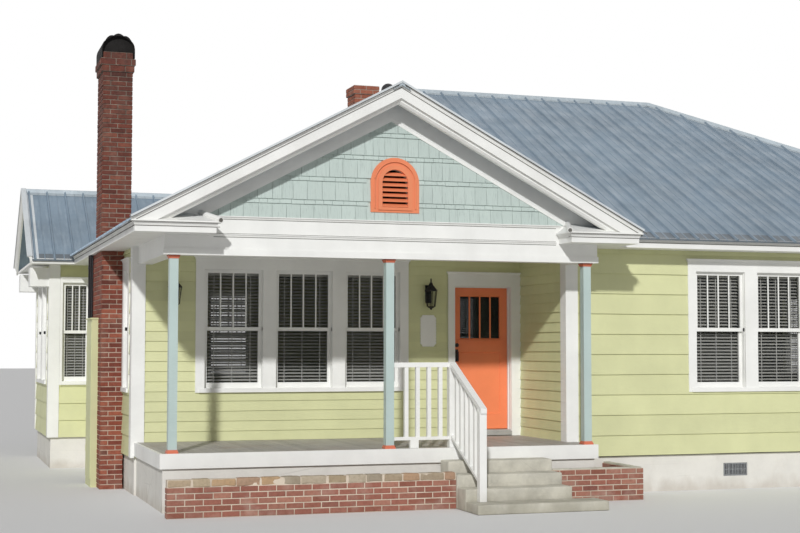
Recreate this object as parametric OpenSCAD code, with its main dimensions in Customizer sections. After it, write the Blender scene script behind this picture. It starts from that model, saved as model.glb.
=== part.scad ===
// One-storey bungalow with a hipped main roof and a gabled porch at its front left corner.
// Frame: X to the right along the front, Y from the front to the back, Z up from the ground.
// The origin is the middle of the whole building's outline on the ground.

/* [Main body] */
// Length of the main body along the front, over the walls
body_w = 14200; // [13000:50:16000]
// Distance from the post line back to the right front wall
wall_setback = 510; // [400:10:700]
// Depth of the main body from the right front wall to the rear wall
body_d = 9660; // [9300:20:10400]
// Thickness of the outer walls
wall_t = 150; // [120:5:180]
// Width of the corner boards
corner_w = 150; // [120:5:170]
// Height of the porch floor above the ground
floor_h = 700; // [600:10:800]
// Height from the porch floor to the eaves soffit
soffit_h = 2600; // [2550:10:2700]
// Rise of the indoor floor above the porch floor
door_step = 70; // [60:5:90]
// Thickness of the indoor floor
floor_t = 130; // [100:5:160]

/* [Foundation] */
// Thickness of the foundation walls
found_t = 200; // [180:10:240]
// Depth of the siding's lower edge below the porch floor
siding_drop = 200; // [160:10:240]
// Width of a foundation grille
grille_w = 380; // [300:10:420]
// Height of a foundation grille
grille_h = 180; // [140:10:200]

/* [Porch] */
// Depth from the post line back to the porch's rear wall
porch_d = 2114; // [1900:2:2300]
// Distance between the middles of the outer posts
post_span = 5418; // [5200:2:5600]
// Side of a square post
post_side = 105; // [90:1:125]
// Height of the coloured cap and of the foot of a post
post_trim_h = 42; // [30:1:60]
// Thickness of the porch floor boards
deck_t = 40; // [30:1:50]
// Height of the white board round the porch floor
rim_h = 180; // [150:5:200]
// Thickness of that board
rim_t = 40; // [30:1:50]
// Height of the underside of the porch beam above the porch floor
beam_base = 2362; // [2300:2:2400]
// Depth of the porch beam from front to back
beam_d = 190; // [160:5:220]
// Height of the white frieze from the beam's underside to the shingles
frieze_h = 478; // [440:2:500]

/* [Steps and planters] */
// Width of the front steps
step_w = 1400; // [1250:10:1500]
// Distance from the left wall to the left end of the steps
step_x = 3530; // [3450:10:3650]
// Depth of a step
step_run = 300; // [260:5:340]
// Height of the slab at the foot of the steps
slab_h = 120; // [100:5:140]
// Depth of that slab from front to back
slab_run = 400; // [350:10:600]
// Length by which that slab passes the steps on the right
slab_pass = 300; // [200:10:400]
// Top of the right planter below the porch floor
planter_drop = 290; // [250:10:330]
// Top of the long flower bed wall below the porch floor
bed_drop = 260; // [230:10:330]
// Distance from the porch rim to the front of the flower bed wall
bed_reach = 560; // [450:10:620]
// Thickness of the planter walls
planter_t = 110; // [90:5:130]

/* [Roof] */
// Pitch of every roof slope in degrees
roof_pitch = 28; // [25:0.1:30]
// Overhang of the eaves past the walls
eave_reach = 330; // [280:5:380]
// Overhang of the porch gable in front of its wall
gable_reach = 370; // [300:5:420]
// Upright thickness of the roof
roof_t = 110; // [90:5:140]
// Height of the roof's upper edge above the soffit at the eaves
eave_h = 170; // [150:5:200]
// Height of an eaves board
fascia_h = 135; // [115:5:145]
// Thickness of an eaves board
fascia_t = 28; // [20:1:40]
// Thickness of the soffit and ceiling sheet
soffit_t = 40; // [30:1:50]
// Length of the eaves returns on the porch gable
return_len = 900; // [700:10:1000]
// Height of the small hipped roof on each eave return
return_rise = 125; // [80:5:150]
// Run of the end slope of that small roof
return_hip = 165; // [120:5:220]
// Height of a rake board, measured upright
rake_h = 205; // [180:5:230]
// Height of the crown moulding on the eaves and rake boards
crown_h = 62; // [50:1:68]
// Distance by which that moulding stands out from its board
crown_out = 42; // [30:1:50]
// Radius of the round ridge caps
cap_r = 55; // [40:1:70]

/* [Wing] */
// Length by which the left wing stands out from the left wall
wing_w = 690; // [600:10:800]
// Distance from the rear wall forward to the wing's front wall
wing_y = 3270; // [3170:10:3370]
// Depth of the wing
wing_d = 2800; // [2700:10:3000]
// Pitch of the wing's roof in degrees
wing_pitch = 35; // [32:0.5:38]

/* [Windows] */
// Clear width of one window in the porch wall
porch_win_w = 800; // [740:5:820]
// Distance between the middles of neighbouring porch windows
porch_win_pitch = 985; // [960:5:1020]
// Clear width of one window in the other walls
win_w = 770; // [700:5:800]
// Distance between the middles of the two windows of a pair
win_pitch = 970; // [940:5:1000]
// Clear height of a window
win_h = 1610; // [1500:10:1640]
// Height of a window's lower edge above the porch floor
win_sill = 705; // [660:5:740]
// Width of the flat casing round windows
casing_w = 125; // [100:5:140]
// Thickness by which casings stand out from the wall
casing_t = 28; // [20:1:35]
// Width of a sash stile
stile_w = 48; // [40:1:60]
// Thickness of a sash
sash_t = 36; // [30:1:45]
// Thickness of the window glass
glass_t = 6; // [4:1:8]
// Clear width of the narrow window beside the chimney
side_win_w = 430; // [400:10:450]

/* [Door] */
// Width of the door leaf
door_w = 840; // [800:5:860]
// Height of the door leaf
door_h = 2030; // [1980:5:2050]
// Thickness of the door leaf
door_t = 45; // [40:1:50]
// Distance from the middle of the door to the porch's side wall
door_x = 583; // [570:1:600]
// Running gap round the door leaf
door_gap = 7; // [7:0.5:10]
// Thickness of the door's jambs
jamb_t = 25; // [20:1:30]
// Width of the glazed part of the door
door_glass_w = 637; // [600:1:650]
// Height of the glazed part of the door
door_glass_h = 632; // [580:2:660]
// Radius of the hinge barrels
barrel_r = 6.5; // [5.5:0.1:6.5]

/* [Chimneys] */
// Distance from the post line back to the front face of the side chimney
chim_y = 3100; // [3000:10:3300]
// Depth of the side chimney's foot from front to back
chim_base_d = 1050; // [950:10:1200]
// Length by which the chimney stands out from the wall
chim_out = 305; // [280:5:350]
// Width of the chimney stack seen from the front
stack_w = 400; // [360:5:440]
// Depth of the chimney stack from front to back
stack_d = 620; // [560:10:700]
// Height of the corbelled head's lower edge above the porch floor
stack_top = 5120; // [4900:10:5300]
// Height of the corbelled head
head_h = 280; // [240:10:340]
// Height of the metal cap on the side chimney
cap_h = 260; // [220:10:300]
// Width of the small rear chimney
small_chim_w = 380; // [340:10:460]

/* [Railing] */
// Height of the porch rail above the floor
rail_h = 1070; // [1000:10:1100]
// Side of a railing bar
bar_side = 50; // [40:1:55]
// Free space between railing bars
bar_gap = 101; // [90:1:115]

/* [Gable vent] */
// Width of the vent's flat frame
vent_w = 637; // [600:1:680]
// Width of the louvred opening
vent_open_w = 338; // [300:2:380]
// Height from the frame's lower edge to the springing of its arch
vent_leg = 372; // [340:2:400]
// Height of the vent's lower edge above the shingles' lower edge
vent_lift = 103; // [80:1:130]
// Number of louvre blades
blades = 7; // [5:1:9]

/* [Wall fittings] */
// Width of a wall lantern
lantern_w = 170; // [150:5:200]
// Height of a wall lantern
lantern_h = 440; // [400:10:480]
// Width of the plaque beside the door
plaque_w = 240; // [220:5:260]
// Height of that plaque
plaque_h = 450; // [420:10:470]

/* [Hidden] */

past = 50;
seat = 0.3;

// Levels above the ground
z_found = floor_h - siding_drop;
z_floor = floor_h + door_step;
z_sill = floor_h + 10;
z_thresh = z_floor + 15;
z_wall = floor_h + soffit_h;
z_roof = z_wall + soffit_t;
z_eave = z_wall + eave_h;
z_beam = floor_h + beam_base;
z_shingle = z_beam + frieze_h;
z_win = floor_h + win_sill;
z_deck = floor_h - deck_t;

// Plan of the main body
y_back = wall_setback + body_d;
found_inset = 30;
post_inset = 176;
gable_x = post_inset + post_span / 2;
post_xs = [post_inset, gable_x, post_inset + post_span];
room_x = post_xs[2] - 34;
deck_front = -95;
rim_l = 20;
rim_r = room_x + wall_t + 10;

// Foundation grilles
grille_mid = 270;
grille_rim = 20;
grille_bar = 10;
grille_cols = 5;
grille_back = 10;
grille_t = 30;
grille_share = 0.2975;
grille_in = grille_share * (body_w - room_x);
grille_front_xs = [room_x + grille_in, body_w - grille_in];
grille_rear_xs = [0.3 * body_w, 0.7 * body_w];

// Porch beam and gable
beam_front = -beam_d / 2;
beam_pass = 127;
beam_l = post_xs[0] - beam_pass;
beam_r = post_xs[2] + beam_pass;
gable_front = beam_front - gable_reach;
frieze_t = 90;
band_back = beam_front + frieze_t;
shingle_set = 10;
low_band_t = 12;
low_band_h = 80;
mid_mould_t = 20;
mid_mould_drop = 10;
mid_mould_rise = 25;
top_mould_t = 25;
top_mould_h = 35;
top_mould_in = 10;
rake_trim_t = 25;
rake_trim_h = 240;
rake_lift = 50;
trim_front = beam_front + shingle_set - rake_trim_t;

// Collars of the posts
trim_out = 16;
trim_foot_out = 6;
trim_slope_low = 0.2;
trim_slope_high = 0.62;

// Roof planes
slope = tan(roof_pitch);
edge_t = 90;
eave_l = -eave_reach;
eave_r = body_w + eave_reach;
eave_f = wall_setback - eave_reach;
eave_b = y_back + eave_reach;
half_depth = (eave_b - eave_f) / 2;
half_gable = gable_x - eave_l;
gable_r = gable_x + half_gable;
z_gable = z_eave + half_gable * slope;
z_ridge = z_eave + half_depth * slope;
y_ridge = eave_f + half_depth;
ridge_l = eave_l + half_depth;
ridge_r = eave_r - half_depth;
z_under = z_eave - roof_t;

// Wing
wing_l = -wing_w;
wing_front = y_back - wing_y;
wing_back = wing_front + wing_d;
wing_mid = wing_front + wing_d / 2;
wing_eave = 380;
wing_front_eave = wing_front - wing_eave;
wing_rear_eave = wing_back + wing_eave;
wing_left_eave = wing_l - eave_reach;
wing_return = 370;
wing_return_drop = 50;
wing_return_top = z_wall - wing_return_drop;
wing_return_h = 300;
wing_rake_h = rake_h - 30;
wing_slope = tan(wing_pitch);
wing_eave_drop = 80;
z_wing_eave = z_eave - wing_eave_drop;
z_wing_ridge = z_wing_eave + (wing_d / 2 + wing_eave) * wing_slope;
wing_roof_past = 400;
wing_roof_r = eave_l + (z_wing_ridge - z_eave) / slope + wing_roof_past;

// Steps
rise = (floor_h - slab_h) / 4;
step_r = step_x + step_w;
slab_front = deck_front - 3 * step_run - slab_run;

// Outline of the whole building
x_min = wing_left_eave - fascia_t - crown_out;
x_max = eave_r + fascia_t + crown_out;
y_min = slab_front;
y_max = eave_b + fascia_t + crown_out;

// Door
y_in = porch_d + wall_t;
door_mid = room_x - door_x;
leaf_l = door_mid - door_w / 2;
leaf_r = door_mid + door_w / 2;
door_l = leaf_l - door_gap - jamb_t;
door_r = leaf_r + door_gap + jamb_t;
z_leaf = z_thresh + 8;
z_leaf_top = z_leaf + door_h;
z_head = z_leaf_top + door_gap + jamb_t;
door_casing = 105;
door_head_h = 140;
door_reveal = 5;
stop_t = 12;
stop_y = porch_d + 60;
nose_out = 45;
nose_drop = 20;
pin_y = y_in + 8;
hinge_h = 90;
hinge_leaf_t = 5;
hinge_leaf_w = 44;
hinge_in = 180;
hinge_zs = [z_leaf + hinge_in, z_leaf + (door_h - hinge_h) / 2, z_leaf_top - hinge_in - hinge_h];
door_top_rail = 115;
z_door_glass = z_leaf_top - door_top_rail - door_glass_h;
door_low_rail = 210;
door_mid_rail = 175;
z_door_panel = z_leaf + door_low_rail;
panel_h = z_door_glass - door_mid_rail - z_door_panel;
panel_sunk = 11;
shelf_out = 22;
shelf_h = 30;
shelf_drop = 45;
z_shelf = z_door_glass - shelf_drop;
door_pane_t = 8;
handle_up = 984;
z_handle = z_leaf + handle_up;
handle_h = 110;
bolt_r = 28;
bolt_t = 18;
bolt_up = 1200;
z_bolt = z_leaf + bolt_up;
lock_in = 60;
lock_x = leaf_l + lock_in;

// Windows
porch_win_share = 0.42;
porch_win_x = porch_win_share * room_x;
pair_share = 0.1734;
pair_out = pair_share * (body_w - room_x);
pair_mid = (room_x + body_w) / 2;
pair_xs = [pair_mid - pair_out, pair_mid + pair_out];
rear_xs = [0.17 * body_w, 0.5 * body_w, 0.83 * body_w];
right_ys = [wall_setback + 0.27 * body_d, wall_setback + 0.73 * body_d];
side_win_cw = 110;
wing_win_cw = 42;
wing_win_x = wing_l + corner_w + 2 + wing_win_cw + side_win_w / 2;
side_win_half = side_win_w / 2 + side_win_cw;
side_win_gap = 30;
side_win_ys = [chim_y - side_win_half - side_win_gap, chim_y + chim_base_d + side_win_half + side_win_gap];
cap_out = 26;
cap_board_h = 50;
sill_out = 45;
sill_h = 55;
bottom_rail = 75;
upper_y = 30;
lower_y = upper_y + sash_t + 4;

// Side chimney and small chimney
stack_pass = 15;
stack_l = -chim_out - stack_pass;
stack_r = stack_l + stack_w;
z_stack_top = floor_h + stack_top;
corbel = 18;
cap_over = 30;
cap_wall = 12;
cap_lobes = 5;
cap_dip = 22;
cap_foot = 30;
cap_hang = 80;
cap_plate_in = 30;
small_in = 700;
small_x = ridge_l - small_in;
small_fore = 240;
small_y = y_ridge - small_fore;
small_d = 420;
small_head_h = 140;
small_corbel = 20;
z_small = z_ridge;
roof_vent_in = 250;
roof_vent_x = ridge_l - roof_vent_in;
roof_vent_r = 115;
roof_vent_pipe_r = 80;

// Railings
rail_in = 190;
rail_x = step_x + rail_in;
newel = 90;
upper_newel_y = -newel / 2;
newel_gap = 5;
lower_newel_y = deck_front - 3 * step_run - newel - newel_gap;
rail_t = 60;
low_rail_up = 100;
low_rail_z = floor_h + low_rail_up;
low_rail_h = 40;
first_gap = 86;
rail_foot_w = 110;
stair_rail_pass = 20;
stair_rail_w = 80;
stair_bars = 5;
stair_slope = 1.05 * rise / step_run;
stair_top = floor_h + rail_h;
stair_foot_up = 120;
stair_foot = floor_h + stair_foot_up;

// Planters
planter_front = deck_front - step_run;
planter_pass = 480;
planter_r = rim_r + planter_pass;

// Wall fittings
trio_half = porch_win_pitch + porch_win_w / 2 + casing_w;
casing_l = door_l + jamb_t - door_casing;
gap_mid = (porch_win_x + trio_half + casing_l) / 2;
lantern_xs = [2 * porch_win_x - gap_mid, gap_mid];
lantern_up = 1790;
lantern_z = floor_h + lantern_up;
plaque_up = 1495;
plaque_z = floor_h + plaque_up;
plaque_t = 15;
bead_r = 22;
box_t = 90;
box_in_front = 350;
box_in_back = 60;
box_front = chim_y + box_in_front;
box_back = chim_y + chim_base_d - box_in_back;
box_up = 1660;
box_top = floor_h + box_up;
pipe_side = 80;
pipe_out = 70;
pipe_l = -chim_out - pipe_out;

module box(x0, x1, y0, y1, z0, z1) {
    translate([x0, y0, z0]) cube([x1 - x0, y1 - y0, z1 - z0]);
}

// A flat outline of X and Z drawn along Y
module along_y(y0, y1, outline) {
    translate([0, y1, 0]) rotate([90, 0, 0]) linear_extrude(y1 - y0) polygon(outline);
}

// A flat outline of Y and Z drawn along X
module along_x(x0, x1, outline) {
    translate([x0, 0, 0]) rotate([90, 0, 90]) linear_extrude(x1 - x0) polygon(outline);
}

// Outline of the walls, moved inwards by d
module plan(d) {
    polygon([
        [d, porch_d + d], [room_x + d, porch_d + d],
        [room_x + d, wall_setback + d], [body_w - d, wall_setback + d],
        [body_w - d, y_back - d], [d, y_back - d],
        [d, wing_back - d], [wing_l + d, wing_back - d],
        [wing_l + d, wing_front + d], [d, wing_front + d]]);
}

// Roof volumes: gap lowers every plane and inset draws the edges inwards
module ridge_volume(gap, inset, base) {
    along_x(eave_l - past, eave_r + past, [
        [eave_f + inset, base], [eave_b - inset, base],
        [eave_b - inset, z_eave - gap + inset * slope],
        [y_ridge, z_ridge - gap],
        [eave_f + inset, z_eave - gap + inset * slope]]);
}

module hip_volume(gap, inset, base, front) {
    intersection() {
        ridge_volume(gap, inset, base);
        slope_volume(gap, inset, base, front, eave_b + past);
    }
}

module slope_volume(gap, inset, base, y0, y1) {
    over = half_depth + 300;
    along_y(y0, y1, [
        [eave_l + inset, base], [eave_r - inset, base],
        [eave_r - inset, z_eave - gap + inset * slope],
        [eave_r - over, z_eave - gap + over * slope],
        [eave_l + over, z_eave - gap + over * slope],
        [eave_l + inset, z_eave - gap + inset * slope]]);
}

module gable_volume(gap, inset, base, front) {
    top = 300;
    intersection() {
        along_y(front, eave_f + half_gable + 400, [
            [eave_l - 900, base], [gable_r - inset, base],
            [gable_r - inset, z_eave - gap + inset * slope],
            [gable_x - top, z_gable - gap + top * slope],
            [eave_l - 900, z_gable - gap + top * slope]]);
        slope_volume(gap, inset, base, front - past, eave_b);
    }
}

module roof_hollow() {
    hip_volume(roof_t, edge_t, z_roof - past, eave_f - past);
    gable_volume(roof_t, edge_t, z_roof - past, gable_front - past);
}

module stack_hole(over) {
    stack_course(over, z_wall - past, z_stack_top);
}

module wing_outline(gap, inset, base, x0, x1) {
    along_x(x0, x1, [
        [wing_front_eave + inset, base], [wing_rear_eave - inset, base],
        [wing_rear_eave - inset, z_wing_eave - gap + inset * wing_slope],
        [wing_mid, z_wing_ridge - gap],
        [wing_front_eave + inset, z_wing_eave - gap + inset * wing_slope]]);
}

// Windows: part 0 is the hole, 1 the frames and 2 the glass. X runs along the wall, Y into it.
module window_set(n, pitch, w, cw, part, ends = true) {
    half = (n - 1) * pitch / 2 + w / 2;
    mid = z_win + win_h / 2;
    head = min(z_win + win_h + cw, z_wall - cap_board_h - seat);
    if (part == 1) difference() {
        union() {
            box(-half - cw, half + cw, -casing_t, 0, z_win - sill_h, head);
            head_cap(-half - cw, half + cw, head, ends, ends);
            box(-half - cw * 0.6, half + cw * 0.6, -sill_out, 0, z_win - sill_h, z_win);
        }
        for (i = [0:n - 1])
            translate([(i - (n - 1) / 2) * pitch, 0, 0]) window_hole(w);
    }
    for (i = [0:n - 1]) translate([(i - (n - 1) / 2) * pitch, 0, 0]) {
        if (part == 0) window_hole(w);
        if (part == 1) {
            sash(w, z_win, mid + stile_w / 2, lower_y, bottom_rail);
            sash(w, mid - stile_w / 2, z_win + win_h, upper_y, stile_w);
        }
        if (part == 2) {
            pane(w, z_win + bottom_rail, mid - stile_w / 2, lower_y);
            pane(w, mid + stile_w / 2, z_win + win_h - stile_w, upper_y);
        }
    }
}

// A moulded head board over a casing; its crown turns back at the ends that are marked true
module head_cap(x0, x1, z, left, right) {
    crown = crown_pts(cap_board_h, cap_out);
    n = len(crown) - 1;
    zs = [for (i = [0:n]) i == 0 ? z - 1 : i == n ? z + cap_board_h + 1 : z + crown[i][1]];
    intersection() {
        along_x(x0 - cap_out, x1 + cap_out,
            concat([[0, z]], [for (p = crown) [-casing_t - p[0], z + p[1]]], [[0, z + cap_board_h]]));
        along_y(-casing_t - cap_out - 1, 1, concat(
            left ? [for (i = [0:n]) [x0 - crown[i][0], zs[i]]] : [[x0, zs[0]], [x0, zs[n]]],
            right ? [for (i = [n:-1:0]) [x1 + crown[i][0], zs[i]]] : [[x1, zs[n]], [x1, zs[0]]]));
    }
}

module window_hole(w) {
    box(-w / 2, w / 2, -casing_t - past, wall_t + past, z_win, z_win + win_h);
}

module sash(w, z0, z1, y, low_rail) {
    difference() {
        box(-w / 2, w / 2, y, y + sash_t, z0, z1);
        box(-w / 2 + stile_w, w / 2 - stile_w, y - 1, y + sash_t + 1, z0 + low_rail, z1 - stile_w);
    }
}

module pane(w, z0, z1, y) {
    mid = y + sash_t / 2;
    box(-w / 2 + stile_w, w / 2 - stile_w, mid - glass_t / 2, mid + glass_t / 2, z0, z1);
}

module front_sets(part) {
    translate([porch_win_x, porch_d, 0]) window_set(3, porch_win_pitch, porch_win_w, casing_w, part);
    for (x = pair_xs) translate([x, wall_setback, 0]) window_set(2, win_pitch, win_w, casing_w, part);
}

module other_sets(part) {
    for (y = side_win_ys)
        translate([0, y, 0]) rotate([0, 0, -90]) window_set(1, 0, side_win_w, side_win_cw, part);
    translate([wing_l, wing_mid, 0]) rotate([0, 0, -90]) window_set(2, win_pitch, win_w, casing_w, part);
    translate([wing_win_x, wing_front, 0]) window_set(1, 0, side_win_w, wing_win_cw, part, false);
    for (y = right_ys)
        translate([body_w, y, 0]) rotate([0, 0, 90]) window_set(2, win_pitch, win_w, casing_w, part);
    for (x = rear_xs)
        translate([x, y_back, 0]) rotate([0, 0, 180]) window_set(2, win_pitch, win_w, casing_w, part);
}

// Foundation grilles: the hole and the grille share one place list
module grille_places() {
    for (x = grille_front_xs) translate([x, wall_setback + found_inset, grille_mid]) children();
    for (x = grille_rear_xs)
        translate([x, y_back - found_inset, grille_mid]) rotate([0, 0, 180]) children();
}

module foundation() {
    color("white") difference() {
        linear_extrude(z_found) difference() {
            plan(found_inset);
            plan(found_inset + found_t);
        }
        grille_places()
            box(-grille_w / 2, grille_w / 2, -past, found_t + past, -grille_h / 2, grille_h / 2);
    }
}

module foundation_vents() {
    cell_w = (grille_w - 2 * grille_rim + grille_bar) / grille_cols;
    cell_h = (grille_h - 2 * grille_rim + grille_bar) / 2;
    color("dimgray") grille_places() difference() {
        box(-grille_w / 2, grille_w / 2, grille_back, grille_back + grille_t, -grille_h / 2, grille_h / 2);
        for (i = [0:grille_cols - 1], j = [0:1])
            translate([-grille_w / 2 + grille_rim + i * cell_w, 0, -grille_h / 2 + grille_rim + j * cell_h])
                cube([cell_w - grille_bar, grille_t + past, cell_h - grille_bar]);
    }
}

module floor() {
    color("tan") translate([0, 0, z_floor - floor_t]) linear_extrude(floor_t) plan(wall_t);
}

module base_wall(x, wall_y) {
    box(x, x + found_t, deck_front + rim_t, wall_y, 0, z_deck);
    box(x, x + found_t, deck_front + rim_t, wall_y + found_inset, 0, z_found);
}

module porch_base() {
    color("white") {
        box(rim_l + rim_t, rim_r - rim_t, deck_front + rim_t, deck_front + rim_t + found_t, 0, z_deck);
        base_wall(rim_l + rim_t, porch_d);
        base_wall(rim_r - rim_t - found_t, wall_setback);
    }
}

module deck_outline() {
    polygon([
        [rim_l + rim_t, deck_front + rim_t], [rim_r - rim_t, deck_front + rim_t],
        [rim_r - rim_t, wall_setback], [room_x, wall_setback],
        [room_x, porch_d], [rim_l + rim_t, porch_d]]);
}

module porch_floor() {
    color("slategray") translate([0, 0, z_deck]) linear_extrude(deck_t) deck_outline();
}

module porch_rim() {
    color("white") difference() {
        box(rim_l, rim_r, deck_front, porch_d, floor_h - rim_h, floor_h);
        box(rim_l + rim_t, rim_r - rim_t, deck_front + rim_t, porch_d + 1, floor_h - rim_h - 1, floor_h + 1);
        box(room_x - past, rim_r + 1, wall_setback, porch_d + 1, floor_h - rim_h - 1, floor_h + 1);
    }
}

module step_block(i) {
    y = deck_front - i * step_run;
    color("darkgray") box(step_x, step_r, y, y + step_run, 0, floor_h - i * rise);
}

module step_upper() {
    step_block(1);
}

module step_middle() {
    step_block(2);
}

module step_lower() {
    step_block(3);
}

module step_slab() {
    color("darkgray") box(step_x, step_r + slab_pass, slab_front, deck_front - 3 * step_run, 0, slab_h);
}

module planter_wall() {
    color("firebrick") difference() {
        box(step_r, planter_r, planter_front, wall_setback + found_inset, 0, floor_h - planter_drop);
        box(step_r - 1, planter_r - planter_t, planter_front + planter_t, wall_setback + past, -1, floor_h);
    }
}

module flower_bed_wall() {
    y = deck_front - bed_reach;
    color("tan") box(rim_l, step_x, y, y + planter_t, 0, floor_h - bed_drop);
}

module porch_back_wall() {
    color("yellowgreen") difference() {
        box(0, door_l, porch_d, y_in, z_found, z_wall);
        front_sets(0);
    }
}

module wall_under_door() {
    color("yellowgreen") box(door_l, room_x, porch_d, y_in, z_found, z_sill);
}

module wall_over_door() {
    color("yellowgreen") box(door_l, door_r, porch_d, y_in, z_head, z_wall);
}

module wall_beside_door() {
    color("yellowgreen") box(door_r, room_x, porch_d, y_in, z_sill, z_wall);
}

module porch_side_wall() {
    color("yellowgreen") box(room_x, room_x + wall_t, wall_setback, y_in, z_found, z_wall);
}

module front_wall() {
    color("yellowgreen") difference() {
        box(room_x + wall_t, body_w - wall_t, wall_setback, wall_setback + wall_t, z_found, z_wall);
        front_sets(0);
    }
}

module right_wall() {
    color("yellowgreen") difference() {
        box(body_w - wall_t, body_w, wall_setback, y_back, z_found, z_wall);
        other_sets(0);
    }
}

module rear_wall() {
    color("yellowgreen") difference() {
        box(wall_t, body_w - wall_t, y_back - wall_t, y_back, z_found, z_wall);
        other_sets(0);
    }
}

module left_wall() {
    color("yellowgreen") difference() {
        union() {
            box(0, wall_t, y_in, wing_front + wall_t, z_found, z_wall);
            box(0, wall_t, wing_back - wall_t, y_back, z_found, z_wall);
        }
        other_sets(0);
    }
}

// The front and rear walls stop a hair short of the gable wall, behind the corner boards
module wing_walls() {
    color("yellowgreen") {
        difference() {
            union() {
                box(wing_l, wing_l + wall_t, wing_front, wing_back, z_found, z_wall);
                box(wing_l + wall_t + seat, 0, wing_front, wing_front + wall_t, z_found, z_wall);
                box(wing_l + wall_t + seat, 0, wing_back - wall_t, wing_back, z_found, z_wall);
            }
            other_sets(0);
        }
        intersection() {
            box(wing_l, wing_l + wall_t, wing_front, wing_back, z_roof, z_wing_ridge);
            wing_outline(roof_t + seat, 0, z_roof, wing_l - past, past);
        }
    }
}

module hinge_barrels(side) {
    for (z = hinge_zs) {
        low = z + (side > 0 ? 0 : hinge_h / 2 + seat);
        high = z + (side > 0 ? hinge_h / 2 : hinge_h);
        translate([leaf_r, pin_y, low]) cylinder(h = high - low, r = barrel_r, $fn = 24);
        x0 = side > 0 ? leaf_r : leaf_r - barrel_r - 2;
        box(x0, x0 + barrel_r + 2, y_in + 2, y_in + hinge_leaf_t, low, high);
        p0 = side > 0 ? leaf_r + barrel_r + 1 : leaf_r - hinge_leaf_w - 1;
        box(p0, p0 + hinge_leaf_w - barrel_r, y_in, y_in + hinge_leaf_t, z, z + hinge_h);
    }
}

module front_door() {
    half = door_glass_w / 2;
    color("coral") {
        difference() {
            box(leaf_l, leaf_r, y_in - door_t, y_in, z_leaf, z_leaf_top);
            box(door_mid - half, door_mid + half, y_in - door_t - 1, y_in + 1,
                z_door_glass, z_door_glass + door_glass_h);
            for (y = [y_in - door_t - 1, y_in - panel_sunk])
                box(door_mid - half, door_mid + half, y, y + panel_sunk + 1,
                    z_door_panel, z_door_panel + panel_h);
        }
        box(door_mid - half - shelf_h, door_mid + half + shelf_h,
            y_in - door_t - shelf_out, y_in - door_t, z_shelf, z_shelf + shelf_h);
        hinge_barrels(-1);
    }
}

module door_glass() {
    color("black") box(door_mid - door_glass_w / 2, door_mid + door_glass_w / 2,
        y_in - door_t / 2 - door_pane_t / 2, y_in - door_t / 2 + door_pane_t / 2,
        z_door_glass, z_door_glass + door_glass_h);
}

module knob() {
    cylinder(h = 10, r = 30, $fn = 32);
    cylinder(h = 45, r = 11, $fn = 24);
    translate([0, 0, 52]) sphere(r = 26, $fn = 24);
}

module pull_handle(y) {
    box(lock_x - 22, lock_x + 22, y - 6, y, z_handle - 20, z_handle + handle_h + 45);
    for (z = [z_handle, z_handle + handle_h])
        box(lock_x - 8, lock_x + 8, y - 50, y - 5, z - 8, z + 8);
    box(lock_x - 9, lock_x + 9, y - 62, y - 48, z_handle - 12, z_handle + handle_h + 12);
}

module bolt_plate() {
    rotate([-90, 0, 0]) cylinder(h = bolt_t, r = bolt_r, $fn = 32);
}

module door_lock() {
    color("black") {
        pull_handle(y_in - door_t);
        translate([lock_x, y_in, z_handle + handle_h]) rotate([-90, 0, 0]) knob();
        translate([lock_x, y_in - door_t - bolt_t, z_bolt]) bolt_plate();
        translate([lock_x, y_in, z_bolt]) bolt_plate();
    }
}

module door_frame() {
    color("white") {
        difference() {
            box(door_l, door_r, porch_d, y_in, z_thresh, z_head);
            box(door_l + jamb_t, door_r - jamb_t, porch_d - 1, y_in + 1, z_thresh - 1, z_head - jamb_t);
        }
        difference() {
            box(door_l + jamb_t, door_r - jamb_t, stop_y, y_in - door_t - 5, z_thresh, z_head - jamb_t);
            box(door_l + jamb_t + stop_t, door_r - jamb_t - stop_t, porch_d, y_in, z_thresh - 1,
                z_head - jamb_t - stop_t);
        }
        translate([0, porch_d, 0])
            head_cap(casing_l, room_x - seat, z_head - door_reveal + door_head_h, true, false);
        difference() {
            box(casing_l, room_x - seat, porch_d - casing_t, porch_d,
                floor_h, z_head - door_reveal + door_head_h);
            box(door_l + jamb_t - door_reveal, door_r - jamb_t + door_reveal,
                porch_d - casing_t - 1, porch_d + 1, floor_h - 1, z_head - jamb_t + door_reveal);
        }
        hinge_barrels(1);
    }
}

// The threshold's nose lies between the casings
module door_threshold() {
    color("gray") {
        box(door_l, door_r, porch_d, y_in, z_sill, z_thresh);
        box(door_l + jamb_t - door_reveal, door_r - jamb_t + door_reveal, porch_d - nose_out, porch_d,
            z_sill, z_thresh - nose_drop);
    }
}

module front_windows() {
    color("white") front_sets(1);
}

module other_windows() {
    color("white") other_sets(1);
}

module window_glass() {
    color("darkslategray", 0.5) {
        front_sets(2);
        other_sets(2);
    }
}

module corner_board(x, y, w, face_x, face_y) {
    t = casing_t;
    translate([x, y, z_found]) mirror([face_x < 0 ? 1 : 0, 0, 0]) mirror([0, face_y < 0 ? 1 : 0, 0])
        linear_extrude(z_wall - z_found) polygon([[0, 0], [0, w], [-t, w], [-t, -t], [w, -t], [w, 0]]);
}

module corner_boards() {
    w = corner_w;
    color("white") {
        difference() {
            union() {
                corner_board(0, porch_d, w, 1, 1);
                corner_board(room_x, wall_setback, w, 1, 1);
            }
            box(rim_l, rim_r, deck_front, wall_setback, 0, floor_h);
            box(rim_l, room_x, wall_setback, porch_d, 0, floor_h);
            beam_ring();
        }
        corner_board(body_w, wall_setback, w, -1, 1);
        corner_board(body_w, y_back, w, -1, -1);
        corner_board(0, y_back, w, 1, -1);
        difference() {
            union() {
                corner_board(wing_l, wing_front, w, 1, 1);
                corner_board(wing_l, wing_back, w, 1, -1);
            }
            wing_returns();
        }
    }
}

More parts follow.
